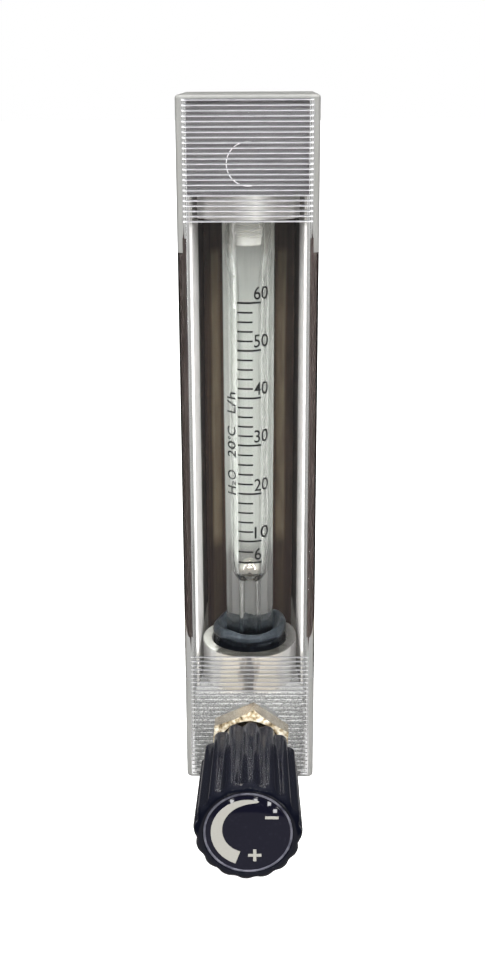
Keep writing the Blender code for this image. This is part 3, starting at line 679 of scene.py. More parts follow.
def lathe(
    name, profile, finish, place, turn=UPRIGHT, sides=96,
    ring=True, shape=None, sharp=30, corner=0.0, steps=3,
):
    """A (radius, height) profile turned about the piece's own Z axis, with its corners rounded.

    A ring's profile closes on itself. Any other starts and ends on the axis. shape gives a
    point's new radius and height from its radius, height and angle.
    """
    if corner:
        profile = rounded(profile, corner, steps, ring)
    form = bmesh.new()
    loops = []
    for radius, height in profile:
        loop = []
        for i in range(sides):
            angle = math.tau * i / sides
            r, h = shape(radius, height, angle) if shape else (radius, height)
            loop.append(form.verts.new((r * math.cos(angle), r * math.sin(angle), h)))
        loops.append(loop)
    join_loops(form, loops, closed=ring)
    bmesh.ops.remove_doubles(form, verts=form.verts, dist=1e-7)
    return add(name, form, finish, place, turn, sharp)


def box(name, low, high, rounding):
    """A cutter with rounded edges."""
    low, high = Vector(low), Vector(high)
    form = bmesh.new()
    bmesh.ops.create_cube(form, size=1, matrix=Matrix.Diagonal((*(high - low), 1)))
    edges = form.edges[:]
    bmesh.ops.bevel(form, geom=edges, offset=rounding, segments=4, profile=0.5, affect="EDGES")
    return add(name, form, None, (low + high) / 2)


def bar(name, radius, low, high, place, turn=UPRIGHT, sides=64, end_radius=None):
    """A cutter along its own Z axis: a cylinder, a cone or a hexagonal bar."""
    form = bmesh.new()
    bmesh.ops.create_cone(
        form,
        cap_ends=True,
        segments=sides,
        radius1=radius,
        radius2=radius if end_radius is None else end_radius,
        depth=high - low,
        matrix=Matrix.Translation((0, 0, (low + high) / 2)),
    )
    return add(name, form, None, place, turn)


def cut(obj, *cutters, operation="DIFFERENCE"):
    """Cuts the piece, or joins or trims it, and throws the cutters away."""
    for cutter in cutters:
        step = obj.modifiers.new(cutter.name, "BOOLEAN")
        step.operation = operation
        step.object = cutter
    graph = bpy.context.evaluated_depsgraph_get()
    finish = obj.data.materials[0]
    obj.data = bpy.data.meshes.new_from_object(obj.evaluated_get(graph))
    obj.modifiers.clear()
    obj.data.materials.clear()
    obj.data.materials.append(finish)
    smooth(obj.data, 30)
    for cutter in cutters:
        bpy.data.objects.remove(cutter, do_unlink=True)
    return obj


def trim_hexagon(obj, flats, low, high, tilt=0.0):
    """Trims a turned collar to a hexagon, with a corner up when tilt is zero."""
    tool = bar("flats", flats / 2 / math.cos(math.pi / 6), low, high, obj.location, sides=6)
    up = Matrix.Rotation(tilt, 3, "Y")
    tool.rotation_euler = (up @ obj.rotation_euler.to_matrix()).to_euler()
    return cut(obj, tool, operation="INTERSECT")


# Cover


def groove_line():
    """The front face as {height: depth} from foot to top, with a shallow V for each groove."""
    centres = [-HALF_HEIGHT + (i + 1.1) * RIB_PITCH for i in range(LOWER_GROOVES)]
    centres += [HALF_HEIGHT - (i + 0.9) * RIB_PITCH for i in range(UPPER_GROOVES)]
    line = {}
    for centre in centres:
        for across, depth in ((-1, 0.0), (-0.25, 0.85), (0, 1.0), (0.25, 0.85), (1, 0.0)):
            line[centre + across * GROOVE_WIDTH / 2] = depth * GROOVE_DEPTH
    return line


def end_inset(height):
    """How far the rounding of the cover's ends sets its sides back at this height."""
    inset = 0.0
    for end_round, gap in ((TOP_ROUND, HALF_HEIGHT - height), (FOOT_ROUND, height + HALF_HEIGHT)):
        if gap < end_round:
            inset = end_round - math.sqrt(max(end_round**2 - (end_round - gap) ** 2, 0.0))
    return inset


def cover_level(height, depth):
    """The cover's outline at one height, from the rear left round the front to the rear right."""
    inset = end_inset(height)
    half = HALF_WIDTH - inset
    front = FRONT + inset
    corner = max(SIDE_ROUND - inset, 0.15 * MM)
    flat = half - corner
    arc = [math.pi / 2 * step / 5 for step in range(6)]
    left = [(-flat - corner * math.cos(a), front + corner - corner * math.sin(a)) for a in arc]
    runout = [GROOVE_END - GROOVE_RUNOUT * step / 4 for step in range(5)]
    face = []
    for x in [*(-x for x in runout), -9 * MM, -4 * MM, 0, 4 * MM, 9 * MM, *reversed(runout)]:
        share = min(1.0, (GROOVE_END - abs(x)) / GROOVE_RUNOUT)
        fade = share * share * (3 - 2 * share)
        face.append((x * min(1.0, 0.995 * flat / GROOVE_END), front + depth * fade))
    right = [(-x, y) for x, y in reversed(left)]
    return [(x, y, height) for x, y in [(-half, 0), *left, *face, *right, (half, 0)]]


def cover_finish(at, normal):
    """The finish of the cover's face at this place."""
    beside_window = EDGE_SHADE_HEIGHTS[0] < at.z < EDGE_SHADE_HEIGHTS[1]
    past_ends = abs(at.z) > HALF_HEIGHT - max(TOP_ROUND, FOOT_ROUND)
    # The rear edge beside the window carries the painted shade.
    if at.y > -1e-6 and abs(at.x) > INNER_SIDE and beside_window:
        return SHADED_EDGE
    if abs(normal.z) > 0.1 and at.y < FRONT + GROOVE_DEPTH and not past_ends:
        return GROOVE
    behind_front = abs(at.y - INNER_FRONT)
    if behind_front < 0.2 * MM and math.hypot(at.x, at.z - MARK_HEIGHT) < MARK_RADIUS + 0.1 * MM:
        return MARK if behind_front > 0.01 * MM else ACRYLIC
    past_ribs = abs(at.x) > GROOVE_END and not beside_window
    if at.z > HALF_HEIGHT - 0.01 * MM or (at.y < FRONT + SIDE_ROUND and (past_ends or past_ribs)):
        return MILKY
    return ACRYLIC


def make_cover():
    levels = groove_line()
    rounding = [math.pi / 2 * step / 6 for step in range(7)]
    for end_round, side in ((TOP_ROUND, 1), (FOOT_ROUND, -1)):
        for angle in rounding:
            height = side * (HALF_HEIGHT - end_round * (1 - math.sin(angle)))
            levels.setdefault(height, 0.0)
    for height in EDGE_SHADE_HEIGHTS:
        levels.setdefault(height, 0.0)
    form = bmesh.new()
    loops = []
    for height in sorted(levels):
        loops.append([form.verts.new(point) for point in cover_level(height, levels[height])])
    join_loops(form, loops, capped=True)
    cover = add("clear_cover", form, ACRYLIC)
    inner_end = HALF_HEIGHT - COVER_END_WALL
    behind = 8 * MM
    hollow = box("hollow", (-INNER_SIDE, INNER_FRONT, -inner_end), (INNER_SIDE, behind, inner_end), 0.3 * MM)
    hole = bar("valve_hole", SOCKET_RADIUS, DEPTH - 4 * MM, DEPTH + 4 * MM, VALVE_AXIS, FORWARD, 96)
    thin_radius = MARK_RADIUS - 0.2 * MM
    low, high = -INNER_FRONT - 0.4 * MM, -INNER_FRONT + 0.1 * MM
    mark = [(MARK_RADIUS, low), (MARK_RADIUS, high), (thin_radius, high), (thin_radius, low)]
    ring = lathe("ejector_mark", mark, None, (0, 0, MARK_HEIGHT), FORWARD, shape=worn_mark)
    cut(cover, hollow, hole, ring)
    finishes = [ACRYLIC, SHADED_EDGE, GROOVE, MARK, MILKY]
    for finish in finishes[1:]:
        cover.data.materials.append(finish)
    for face in cover.data.polygons:
        face.material_index = finishes.index(cover_finish(face.center, face.normal))
    show(cover, "front_cover")


# Channel and blocks


def screw_places():
    for level in ("upper", "lower"):
        for side in ("left", "right"):
            node = f"block_screw_{level}_{side}"
            low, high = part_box(node)
            yield node, ((low.x + high.x) / 2, 0, (low.z + high.z) / 2), (high.x - low.x) / 2


def screw_sink(place, head_radius, gap=0.3 * MM):
    """A countersunk hole a little larger than the screw's head."""
    depth = 1.7 * MM
    past = 0.5 * MM
    slope = (head_radius - 1.5 * MM) / depth
    wide = head_radius + gap + slope * past
    narrow = wide - slope * (depth + 2 * past)
    return bar("sink", narrow, -depth - past, past, place, BACKWARD, 48, wide)


def make_channel():
    half = CHANNEL_HIGH.x
    steps = 8
    outer, inner = [], []
    for side, start in ((-1, math.pi), (1, math.pi / 2)):
        centre_x = side * (half - BEND)
        for step in range(steps + 1):
            angle = start - step * math.pi / 2 / steps
            away = Vector((math.cos(angle), math.sin(angle)))
            centre = Vector((centre_x, -BEND))
            outer.append(centre + BEND * away)
            inner.append(centre + (BEND - SHEET) * away)
    outer = [Vector((-half, CHANNEL_LOW.y)), *outer, Vector((half, CHANNEL_LOW.y))]
    inner = [Vector((-half + SHEET, CHANNEL_LOW.y)), *inner, Vector((half - SHEET, CHANNEL_LOW.y))]
    form = bmesh.new()
    loops = []
    for height in (CHANNEL_LOW.z, CHANNEL_HIGH.z):
        section = [*outer, *reversed(inner)]
        loops.append([form.verts.new((*point, height)) for point in section])
    join_loops(form, loops, capped=True)
    channel = add("steel_channel", form, STEEL)
    cutters = []
    for height in (PORT_HEIGHT, VALVE_HEIGHT):
        cutters.append(bar("port", SOCKET_RADIUS, -3 * SHEET, 2 * SHEET, (0, 0, height), BACKWARD, 96))
    cutters += [screw_sink(place, radius) for _, place, radius in screw_places()]
    cut(channel, *cutters)
    show(channel, "back_channel")


def block_bar(name, low, high, ends, finish):
    """A bar of T section between two heights, whose front lip stands over the channel's edges."""
    lip_rear = low.y + LIP_THICKNESS
    right = [(high.x, low.y), (high.x, lip_rear), (BLOCK_HALF_WIDTH, lip_rear), (BLOCK_HALF_WIDTH, high.y)]
    left = [(-x, y) for x, y in reversed(right)]
    form = bmesh.new()
    loops = [[form.verts.new((x, y, height)) for x, y in right + left] for height in ends]
    join_loops(form, loops, capped=True)
    edges = form.edges[:]
    bmesh.ops.bevel(form, geom=edges, offset=0.35 * MM, segments=3, profile=0.5, affect="EDGES")
    return add(name, form, finish)


def make_block(node, face, finish, extra):
    """A block with its tube boss and sockets. extra lists the cutters that it alone needs."""
    low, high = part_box(node)
    up = face > 0
    ends = (face, high.z) if up else (low.z, face)
    block = block_bar(node + "_body", low, high, ends, finish)
    boss_ends = (low.z, face + 2 * MM) if up else (face - 2 * MM, high.z)
    foot, top = boss_ends
    profile = [(0, top), (BOSS_RADIUS, top), (BOSS_RADIUS, foot), (0, foot)]
    boss = lathe("boss", profile, None, TUBE_AXIS, sides=128, ring=False, corner=0.25 * MM)
    cut(block, boss, operation="UNION")
    port = (0, 0, PORT_HEIGHT if up else VALVE_HEIGHT)
    cutters = [bar("socket", SOCKET_RADIUS, SOCKET_FLOOR, MM, port, BACKWARD, 96), *extra]
    for _, place, radius in screw_places():
        if (place[2] > 0) == up:
            cutters.append(bar("screw_hole", 1.8 * MM, -9 * MM, MM, place, BACKWARD, 32))
            cutters.append(screw_sink(place, radius))
    cut(block, *cutters)
    show(block, node)


def make_blocks():
    seal_bore = bar("seal_bore", 8 * MM, TOP_LOW.z - MM, 57.5 * MM, TUBE_AXIS, sides=96)
    riser = bar("riser", 2.5 * MM, 56 * MM, PORT_HEIGHT, TUBE_AXIS)
    make_block("top_block", UPPER_BLOCK_FACE, TOP_METAL, [seal_bore, riser])
    recess = bar("seal_recess", 8.8 * MM, -47.3 * MM, FOOT_HIGH.z + MM, TUBE_AXIS, sides=128)
    tube_bore = bar("tube_bore", 5.6 * MM, -51 * MM, -46 * MM, TUBE_AXIS, sides=96)
    riser = bar("riser", 2.5 * MM, VALVE_HEIGHT, -50 * MM, TUBE_AXIS)
    bonnet = bar("bonnet_socket", SOCKET_RADIUS, 25.5 * MM, DEPTH, VALVE_AXIS, FORWARD, 96)
    chamber = bar("chamber", 3.4 * MM, 15 * MM, 26.5 * MM, VALVE_AXIS, FORWARD)
    orifice = bar("orifice", 1.25 * MM, 10.7 * MM, 16 * MM, VALVE_AXIS, FORWARD)
    bores = [recess, tube_bore, riser, bonnet, chamber, orifice]
    make_block("bottom_block", LOWER_BLOCK_FACE, FOOT_METAL, bores)


def make_block_screws():
    for node, place, radius in screw_places():
        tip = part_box(node)[0].y
        top = -0.1 * MM
        profile = [(0, top), (radius, top), (1.5 * MM, top - 1.7 * MM), (1.5 * MM, tip + 0.4 * MM)]
        profile += [(1.1 * MM, tip), (0, tip)]
        screw = lathe(node + "_body", profile, ZINC, place, BACKWARD, 48, ring=False, corner=0.12 * MM)
        cut_cross(screw, 0.6 * MM, 2.8 * MM, top - 0.9 * MM)
        show(screw, node)


def cut_cross(screw, width, length, floor):
    """Two crossed slots for a screwdriver, from floor up past the head."""
    height = 3 * MM
    slots = []
    for size in ((length, width), (width, length)):
        form = bmesh.new()
        middle = Matrix.Translation((0, 0, floor + height / 2))
        bmesh.ops.create_cube(form, size=1, matrix=middle @ Matrix.Diagonal((*size, height, 1)))
        slots.append(add("slot", form, None, screw.location, screw.rotation_euler))
    cut(screw, *slots)


# Tube, float and seals


def tube_radius(height):
    """The outer radius of the tapered tube at a height."""
    share = (height - TUBE_LOW.z) / (TUBE_HIGH.z - TUBE_LOW.z)
    return TUBE_FOOT_RADIUS + share * (TUBE_TOP_RADIUS - TUBE_FOOT_RADIUS)


def make_tube():
    profile = [
        (TUBE_TOP_RADIUS, TUBE_HIGH.z), (TUBE_FOOT_RADIUS, TUBE_LOW.z), (1.6 * MM, TUBE_LOW.z),
        (1.6 * MM, -30.2 * MM), (2.2 * MM, -29.1 * MM), (2.6 * MM, -28.2 * MM), (2.8 * MM, 36 * MM),
        (3.35 * MM, 41 * MM), (3.35 * MM, TUBE_HIGH.z),
    ]
    tube = lathe("clear_tube", profile, GLASS, TUBE_AXIS, sides=144, sharp=60, corner=0.7 * MM, steps=5)
    show(tube, "glass_tube")


def make_ball():
    form = bmesh.new()
    radius = (BALL_HIGH.z - BALL_LOW.z) / 2
    bmesh.ops.create_uvsphere(form, u_segments=64, v_segments=32, radius=radius)
    ball = add("steel_ball", form, BALL, (BALL_LOW + BALL_HIGH) / 2, sharp=60)
    show(ball, "ball_float", "float")


def make_float_stop():
    root = STOP_RADIUS - 0.35 * MM
    flange_low = STOP_HIGH.z - 1.2 * MM
    barb_start = STOP_LOW.z + 1.6 * MM
    barbs = []
    for i in reversed(range(BARBS)):
        base = barb_start + i * BARB_PITCH
        barbs += [(STOP_RADIUS, base + 0.8 * BARB_PITCH), (root, base)]
    hole = 1.3 * MM
    profile = [
        (STOP_HIGH.x, STOP_HIGH.z), (STOP_HIGH.x, flange_low), (root, flange_low),
        (root, barb_start + BARBS * BARB_PITCH), *barbs, (root, STOP_LOW.z + 0.3 * MM),
        (root - 0.3 * MM, STOP_LOW.z), (hole, STOP_LOW.z), (hole, STOP_HIGH.z),
    ]
    stop = lathe("barbed_stop", profile, WHITE, TUBE_AXIS, sides=72, corner=0.12 * MM)
    show(stop, "upper_float_stop")


def make_upper_seal():
    low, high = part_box("upper_tube_seal")
    inner = 6.05 * MM
    profile = [(high.x, high.z), (high.x, low.z), (inner, low.z), (inner, high.z)]
    seal = lathe("upper_seal_ring", profile, RUBBER, TUBE_AXIS, corner=0.4 * MM, steps=4)
    show(seal, "upper_tube_seal")


def folded(radius, height, angle):
    """The collar's uneven shape: its front lip sags, and its foot tucks in under a wavy fold."""
    front = max(0.0, -math.sin(angle))
    around = Vector((math.cos(angle) * 1.6, math.sin(angle) * 1.6, height / COLLAR_HIGH.x + 4))
    swell = noise.noise(around)
    lip = max(0.0, 1 - (COLLAR_RIM - height) / (3 * MM))
    if radius > 6.9 * MM:
        wave = 0.35 * math.sin(5 * angle + 0.6) + 0.2 * math.sin(11 * angle)
        from_tuck = abs(height - COLLAR_TUCK - 0.4 * MM * wave) / (1.1 * MM)
        radius -= (0.35 * MM + 0.75 * MM * front) * max(0.0, 1 - from_tuck**2)
        radius -= 0.3 * MM * max(0.0, swell)
    elif radius > 5.6 * MM:
        radius += 0.5 * MM * swell * lip
    height -= lip * (0.5 * MM * front**2 + 0.8 * MM * swell)
    return radius, height


def make_lower_seal():
    rim, foot = COLLAR_RIM, COLLAR_LOW.z
    tube_hole, mouth, collar = 5.5 * MM, 6.8 * MM, COLLAR_HIGH.x
    line = [
        (collar - 0.9 * MM, rim), (collar - 0.15 * MM, rim - 0.7 * MM),
        (collar - 0.02 * MM, rim - 1.6 * MM), (collar - 0.1 * MM, rim - 3.0 * MM),
        (collar - 0.1 * MM, foot), (tube_hole, foot), (tube_hole, rim - 2.6 * MM),
        (mouth - 0.4 * MM, rim - 1.6 * MM), (mouth, rim - 0.7 * MM), (mouth + 0.2 * MM, rim - 0.1 * MM),
    ]
    profile = []
    for first, second in zip(line, [*line[1:], line[0]]):
        steps = max(1, round(math.dist(first, second) / (0.4 * MM)))
        for step in range(steps):
            t = step / steps
            profile.append(tuple(a + (b - a) * t for a, b in zip(first, second)))
    seal = lathe("tube_collar", profile, RUBBER, TUBE_AXIS, sides=160, shape=folded, sharp=180)
    soft = seal.modifiers.new("soft", "SUBSURF")
    soft.levels = 1
    soft.render_levels = 1
    show(seal, "lower_tube_seal")


def make_o_rings():
    """Round-section rings, whose axis is the one their CAD box is thinnest along."""
    for node in ("bonnet_o_ring", "spindle_o_ring", "upper_connector_o_ring", "lower_connector_o_ring"):
        low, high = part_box(node)
        section = (high.y - low.y) / 2
        centre_line = (high.x - low.x) / 2 - section
        angles = [math.tau * i / 16 for i in range(16)]
        profile = [(centre_line + section * math.sin(a), section * math.cos(a)) for a in angles]
        ring = lathe(node + "_body", profile, RUBBER, (low + high) / 2, FORWARD, 72, sharp=60)
        show(ring, node, "spindle" if node == "spindle_o_ring" else "housing")


# Printed scale


def lettering(text, width, height):
    """Letters as a bmesh of the given size, from a corner at the origin."""
    curve = bpy.data.curves.new("letters", "FONT")
    curve.body = text
    curve.offset = 0.008
    curve.resolution_u = 4
    curve.extrude = 0.5
    obj = bpy.data.objects.new("letters", curve)
    bpy.context.scene.collection.objects.link(obj)
    graph = bpy.context.evaluated_depsgraph_get()
    mesh = bpy.data.meshes.new_from_object(obj.evaluated_get(graph))
    bpy.data.objects.remove(obj, do_unlink=True)
    form = bmesh.new()
    form.from_mesh(mesh)
    bmesh.ops.remove_doubles(form, verts=form.verts, dist=1e-5)
    low = Vector([min(v.co[i] for v in form.verts) for i in range(3)])
    high = Vector([max(v.co[i] for v in form.verts) for i in range(3)])
    size = high - low
    for v in form.verts:
        at = v.co - low
        v.co = (at.x / size.x * width, at.y / size.y * height, at.z / size.z * INK_THICKNESS)
    return form


def on_tube(form, place):
    """Lays a flat form on the tube's front. place turns a flat point into x and a height."""
    for v in form.verts:
        x, height = place(v.co.x, v.co.y)
        radius = tube_radius(height) + INK_LIFT + v.co.z
        v.co = (x, TUBE_Y - math.sqrt(radius**2 - x**2), height)
    return form


def scale_line(length, thickness):
    """A flat bar with enough steps along it to follow the tube."""
    form = bmesh.new()
    steps = 12
    loops = []
    for step in range(steps + 1):
        x = length * step / steps
        corners = [(0, 0), (1, 0), (1, 1), (0, 1)]
        loops.append([form.verts.new((x, thickness * (a - 0.5), INK_THICKNESS * b)) for a, b in corners])
    join_loops(form, loops, capped=True)
    return form


def scale_height(flow):
    """The height of a flow on the scale, between the two nearest numbered lines."""
    known = sorted(SCALE)
    for first, second in zip(known, known[1:]):
        if first <= flow <= second:
            share = (flow - first) / (second - first)
            above_foot = SCALE[first] + share * (SCALE[second] - SCALE[first])
            return above_foot * MM - HALF_HEIGHT


def make_scale():
    left = -2.38 * MM
    forms = []
    for flow in range(min(SCALE), max(SCALE) + 1, MINOR_STEP):
        numbered = flow in SCALE
        height = scale_height(flow)
        length, thickness = (4.95 * MM, 0.42 * MM) if numbered else (3.2 * MM, 0.38 * MM)
        forms.append(on_tube(scale_line(length, thickness), lambda x, y: (left + x, height + y)))
        if numbered:
            digits = len(str(flow))
            width = 1.45 * MM if digits == 1 else 3.0 * MM
            start = 1.1 * MM
            letters = lettering(str(flow), width, 2.75 * MM)
            forms.append(on_tube(letters, lambda x, y: (start + x, height + 0.6 * MM + y)))
    base = -2.85 * MM
    unit = [("H", 63.4, 65.2), ("2", 65.5, 66.45), ("O", 66.7, 68.8), ("2", 71.7, 73.2)]
    unit += [("0", 73.5, 75.2), ("°", 75.5, 76.1), ("C", 76.4, 78.4), ("L", 81.4, 82.7)]
    unit += [("/", 82.8, 84.1), ("h", 84.4, 85.9)]
    for i, (letter, start, end) in enumerate(unit):
        small = i == 1
        raised = 1.1 * MM if letter == "°" else 0.0
        tall = 0.9 * MM if small else 0.6 * MM if raised else 1.75 * MM
        rise = start * MM - HALF_HEIGHT
        letters = lettering(letter, (end - start) * MM, tall)
        forms.append(on_tube(letters, lambda x, y: (base - raised - y, rise + x)))
    whole = bmesh.new()
    for form in forms:
        part = bpy.data.meshes.new("print")
        form.to_mesh(part)
        form.free()
        whole.from_mesh(part)
        bpy.data.meshes.remove(part)
    print_piece = add("printed_scale", whole, SCALE_INK)
    show(print_piece)


# Valve and knob


def hexagon_collar(flats, low, high, chamfer):
    """The turned outer side of a hexagon whose front corners alone are chamfered."""
    corner = flats / 2 / math.cos(math.pi / 6)
    return [(corner - 1.7 * chamfer, high), (corner, high - chamfer), (corner + MM, low)]


def make_bonnet():
    neck = 4.6 * MM
    shank_rear = 27.5 * MM
    bore, stem_bore = 3.2 * MM, 2.8 * MM
    thread_end = DEPTH + MM
    profile = [
        (neck, BONNET_FRONT), (neck, HEX_FRONT),
        *hexagon_collar(HEX_FLATS, HEX_REAR, HEX_FRONT, 1.2 * MM), (THREAD_RADIUS, HEX_REAR),
        (THREAD_RADIUS, shank_rear), (bore, shank_rear), (bore, thread_end), (stem_bore, thread_end),
        (stem_bore, BONNET_FRONT),
    ]
    bonnet = lathe("bonnet_body", profile, NICKEL, VALVE_AXIS, FORWARD, 120, corner=0.25 * MM)
    trim_hexagon(bonnet, HEX_FLATS, shank_rear - MM, BONNET_FRONT + MM, HEX_TILT)
    bonnet.data.materials.append(CHAMFER_REFLECTION)
    for face in bonnet.data.polygons:
        if 0.5 < face.normal.z < 0.97 and HEX_REAR + MM < face.center.z < HEX_FRONT:
            face.material_index = 1
    edge = bonnet.modifiers.new("edge", "BEVEL")
    edge.width = 0.06 * MM
    edge.segments = 2
    edge.angle_limit = math.radians(40)
    edge.harden_normals = True
    show(bonnet, "valve_bonnet")


def make_washer(node, turn):
    low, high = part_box(node)
    half = (high.y - low.y) / 2
    profile = [(high.x, half), (high.x, -half), (SOCKET_RADIUS, -half), (SOCKET_RADIUS, half)]
    washer = lathe(node + "_body", profile, ZINC, (low + high) / 2, turn, corner=0.15 * MM)
    show(washer, node)


def fluted(radius, height, angle):
    """Round lobes and narrower valleys on the knob's outer side, fading at its front edge."""
    if radius < 9.3 * MM:
        return radius, height
    valley = abs(math.sin(FLUTES * (angle - FLUTE_TURN) / 2)) ** 3
    fade = max(0.0, min(1.0, (KNOB_FRONT - height) / (1.8 * MM)))
    return radius - FLUTE_DEPTH * (0.1 + 0.9 * fade) * valley, height


def make_knob():
    front, rear = KNOB_FRONT, KNOB_REAR
    screw_floor = STEM_FRONT + 2.2 * MM
    rear_recess = rear + 6 * MM
    cap_floor = front - 1.5 * MM
    cap_recess = CAP_RADIUS + 0.06 * MM
    profile = [
        (cap_recess, front), (9.6 * MM, front), (10.38 * MM, front - 0.63 * MM),
        (10.6 * MM, front - 1.8 * MM), (10.1 * MM, rear + 0.4 * MM), (9.7 * MM, rear), (7.4 * MM, rear),
        (7.4 * MM, rear_recess), (2.8 * MM, rear_recess), (2.8 * MM, STEM_FRONT + 0.3 * MM),
        (1.8 * MM, STEM_FRONT + 0.3 * MM), (1.8 * MM, screw_floor), (4.5 * MM, screw_floor),
        (4.5 * MM, cap_floor), (cap_recess, cap_floor),
    ]
    sides = FLUTES * 18
    knob = lathe(
        "fluted_knob", profile, KNOB_BLACK, VALVE_AXIS, FORWARD, sides,
        shape=fluted, sharp=50, corner=0.22 * MM,
    )
    show(knob, "knob", "knob_unit")


def make_cap():
    low = CAP_FACE - 1.0 * MM
    rim_top = CAP_FACE + 0.15 * MM
    profile = [
        (0, CAP_FACE), (CAP_RADIUS - 0.8 * MM, CAP_FACE), (CAP_RADIUS - 0.5 * MM, CAP_FACE),
        (CAP_RADIUS - 0.38 * MM, rim_top), (CAP_RADIUS - 0.12 * MM, rim_top),
        (CAP_RADIUS, rim_top - 0.12 * MM), (CAP_RADIUS, low), (0, low),
    ]
    cap = lathe(
        "cap_disc", profile, CAP_BLACK, VALVE_AXIS, FORWARD, 144, ring=False, sharp=60, corner=0.06 * MM
    )
    cap.data.materials.append(CAP_RIM)
    for face in cap.data.polygons:
        if face.center.z > CAP_FACE + 0.02 * MM:
            face.material_index = 1
    show(cap, "knob_cap", "knob_unit")


def make_cap_marks():
    """A tapering arc with a minus by its thin end and a plus by its thick end."""
    outer, thick_inner, thin_inner = 7.15 * MM, 4.3 * MM, 7.05 * MM
    start, end = math.radians(72), math.radians(250)
    steps = 72
    form = bmesh.new()
    loops = []
    for step in range(steps + 1):
        share = step / steps
        angle = start + (end - start) * share
        inner = thin_inner - (thin_inner - thick_inner) * math.sqrt(share)
        away = Vector((math.cos(angle), math.sin(angle), 0))
        corners = [(inner, 0), (outer, 0), (outer, 1), (inner, 1)]
        loops.append([form.verts.new(away * r + Vector((0, 0, INK_THICKNESS * h))) for r, h in corners])
    join_loops(form, loops, capped=True)
    long, wide = 2.6 * MM, 0.62 * MM
    signs = [((4.6 * MM, 3.3 * MM), (long, wide))]
    signs += [((1.3 * MM, -4.9 * MM), size) for size in ((long, wide), (wide, long))]
    for i, ((x, y), (width, height)) in enumerate(signs):
        lift = INK_THICKNESS * (0.5 + 0.1 * i)
        place = Matrix.Translation((x, y, lift)) @ Matrix.Diagonal((width, height, INK_THICKNESS, 1))
        bmesh.ops.create_cube(form, size=1, matrix=place)
    face = (0, -CAP_FACE - INK_LIFT, VALVE_HEIGHT)
    marks = add("cap_marks", form, CAP_INK, face, FORWARD)
    show(marks, body="knob_unit")


def make_spindle():
    groove = (39.6 * MM, 41.0 * MM)
    seat = 15.3 * MM
    tip = -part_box("valve_spindle")[1].y
    stem, tapped = 2.5 * MM, 1.8 * MM
    floor = STEM_FRONT - 9 * MM
    profile = [
        (0, floor), (tapped, floor), (tapped, STEM_FRONT), (stem, STEM_FRONT), (stem, groove[1]),
        (1.5 * MM, groove[1]), (1.5 * MM, groove[0]), (stem, groove[0]), (stem, 31 * MM),
        (2.9 * MM, 31 * MM), (2.9 * MM, 24 * MM), (2.2 * MM, 24 * MM), (2.2 * MM, seat),
        (0.95 * MM, seat), (0.4 * MM, tip), (0, tip),
    ]
    spindle = lathe("spindle_body", profile, NICKEL, VALVE_AXIS, FORWARD, 72, ring=False, corner=0.12 * MM)
    show(spindle, "valve_spindle", "spindle")


def make_knob_screw():
    low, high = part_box("knob_screw")
    tip, top = -high.y, -low.y
    head_low = top - 2.0 * MM
    shank = 1.5 * MM
    profile = [(0, top), (high.x, top), (high.x, head_low), (shank, head_low), (shank, tip), (0, tip)]
    screw = lathe(
        "knob_screw_body", profile, ZINC, VALVE_AXIS, FORWARD, 48, ring=False, corner=0.45 * MM, steps=4
    )
    cut_cross(screw, 0.7 * MM, 3 * MM, top - MM)
    show(screw, "knob_screw", "knob_unit")


# Rear connectors


def threaded(radius, height, angle):
    """A V thread on the shank, between the housing and the shank's end."""
    if abs(radius - THREAD_RADIUS) > 0.01 * MM or height < 0.2 * MM:
        return radius, height
    phase = (height / THREAD_PITCH - angle / math.tau) % 1.0
    valley = 1 - abs(2 * phase - 1)
    runout = max(0.0, min(1.0, (height - 0.2 * MM) / THREAD_PITCH))
    return radius - THREAD_DEPTH * valley * runout, height


def make_connector(level, height):
    shank_start = SOCKET_FLOOR + 2.3 * MM
    edge = 0.6 * MM
    root, peak = 3.4 * MM, 4.2 * MM
    barb_length = 5 * MM
    barbs = []
    for i in range(3):
        top = TAIL_END - i * barb_length
        barbs += [(root, top), (peak, top - barb_length + edge)]
    bore = 2.2 * MM
    tail = [*barbs, (root, TAIL_END - 3 * barb_length + edge), (root, SHANK_END)]
    tail.append((THREAD_RADIUS - edge, SHANK_END))
    steps = round((SHANK_END - edge) / (THREAD_PITCH / 8))
    thread = [(THREAD_RADIUS, (SHANK_END - edge) * (1 - i / steps)) for i in range(steps + 1)]
    rest = [
        (THREAD_RADIUS, shank_start + edge), (THREAD_RADIUS - edge, shank_start), (bore, shank_start),
        (bore, TAIL_END),
    ]
    line = [*rounded([*tail, thread[0]], 0.2 * MM)[:-1], *thread, *rest]
    node = f"{level}_connector"
    body = lathe(node + "_body", line, NICKEL, (0, 0, height), BACKWARD, 96, shape=threaded, sharp=35)
    show(body, node)


def make_panel_nut(level, height):
    node = f"{level}_panel_nut"
    low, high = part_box(node)
    flats = 17 * MM
    profile = hexagon_collar(flats, low.y, high.y, 0.6 * MM)
    profile += [(SOCKET_RADIUS, low.y), (SOCKET_RADIUS, high.y)]
    nut = lathe(node + "_body", profile, NICKEL, (0, 0, height), BACKWARD, 120, corner=0.2 * MM)
    trim_hexagon(nut, flats, low.y - MM, high.y + MM)
    show(nut, node)


# Studio


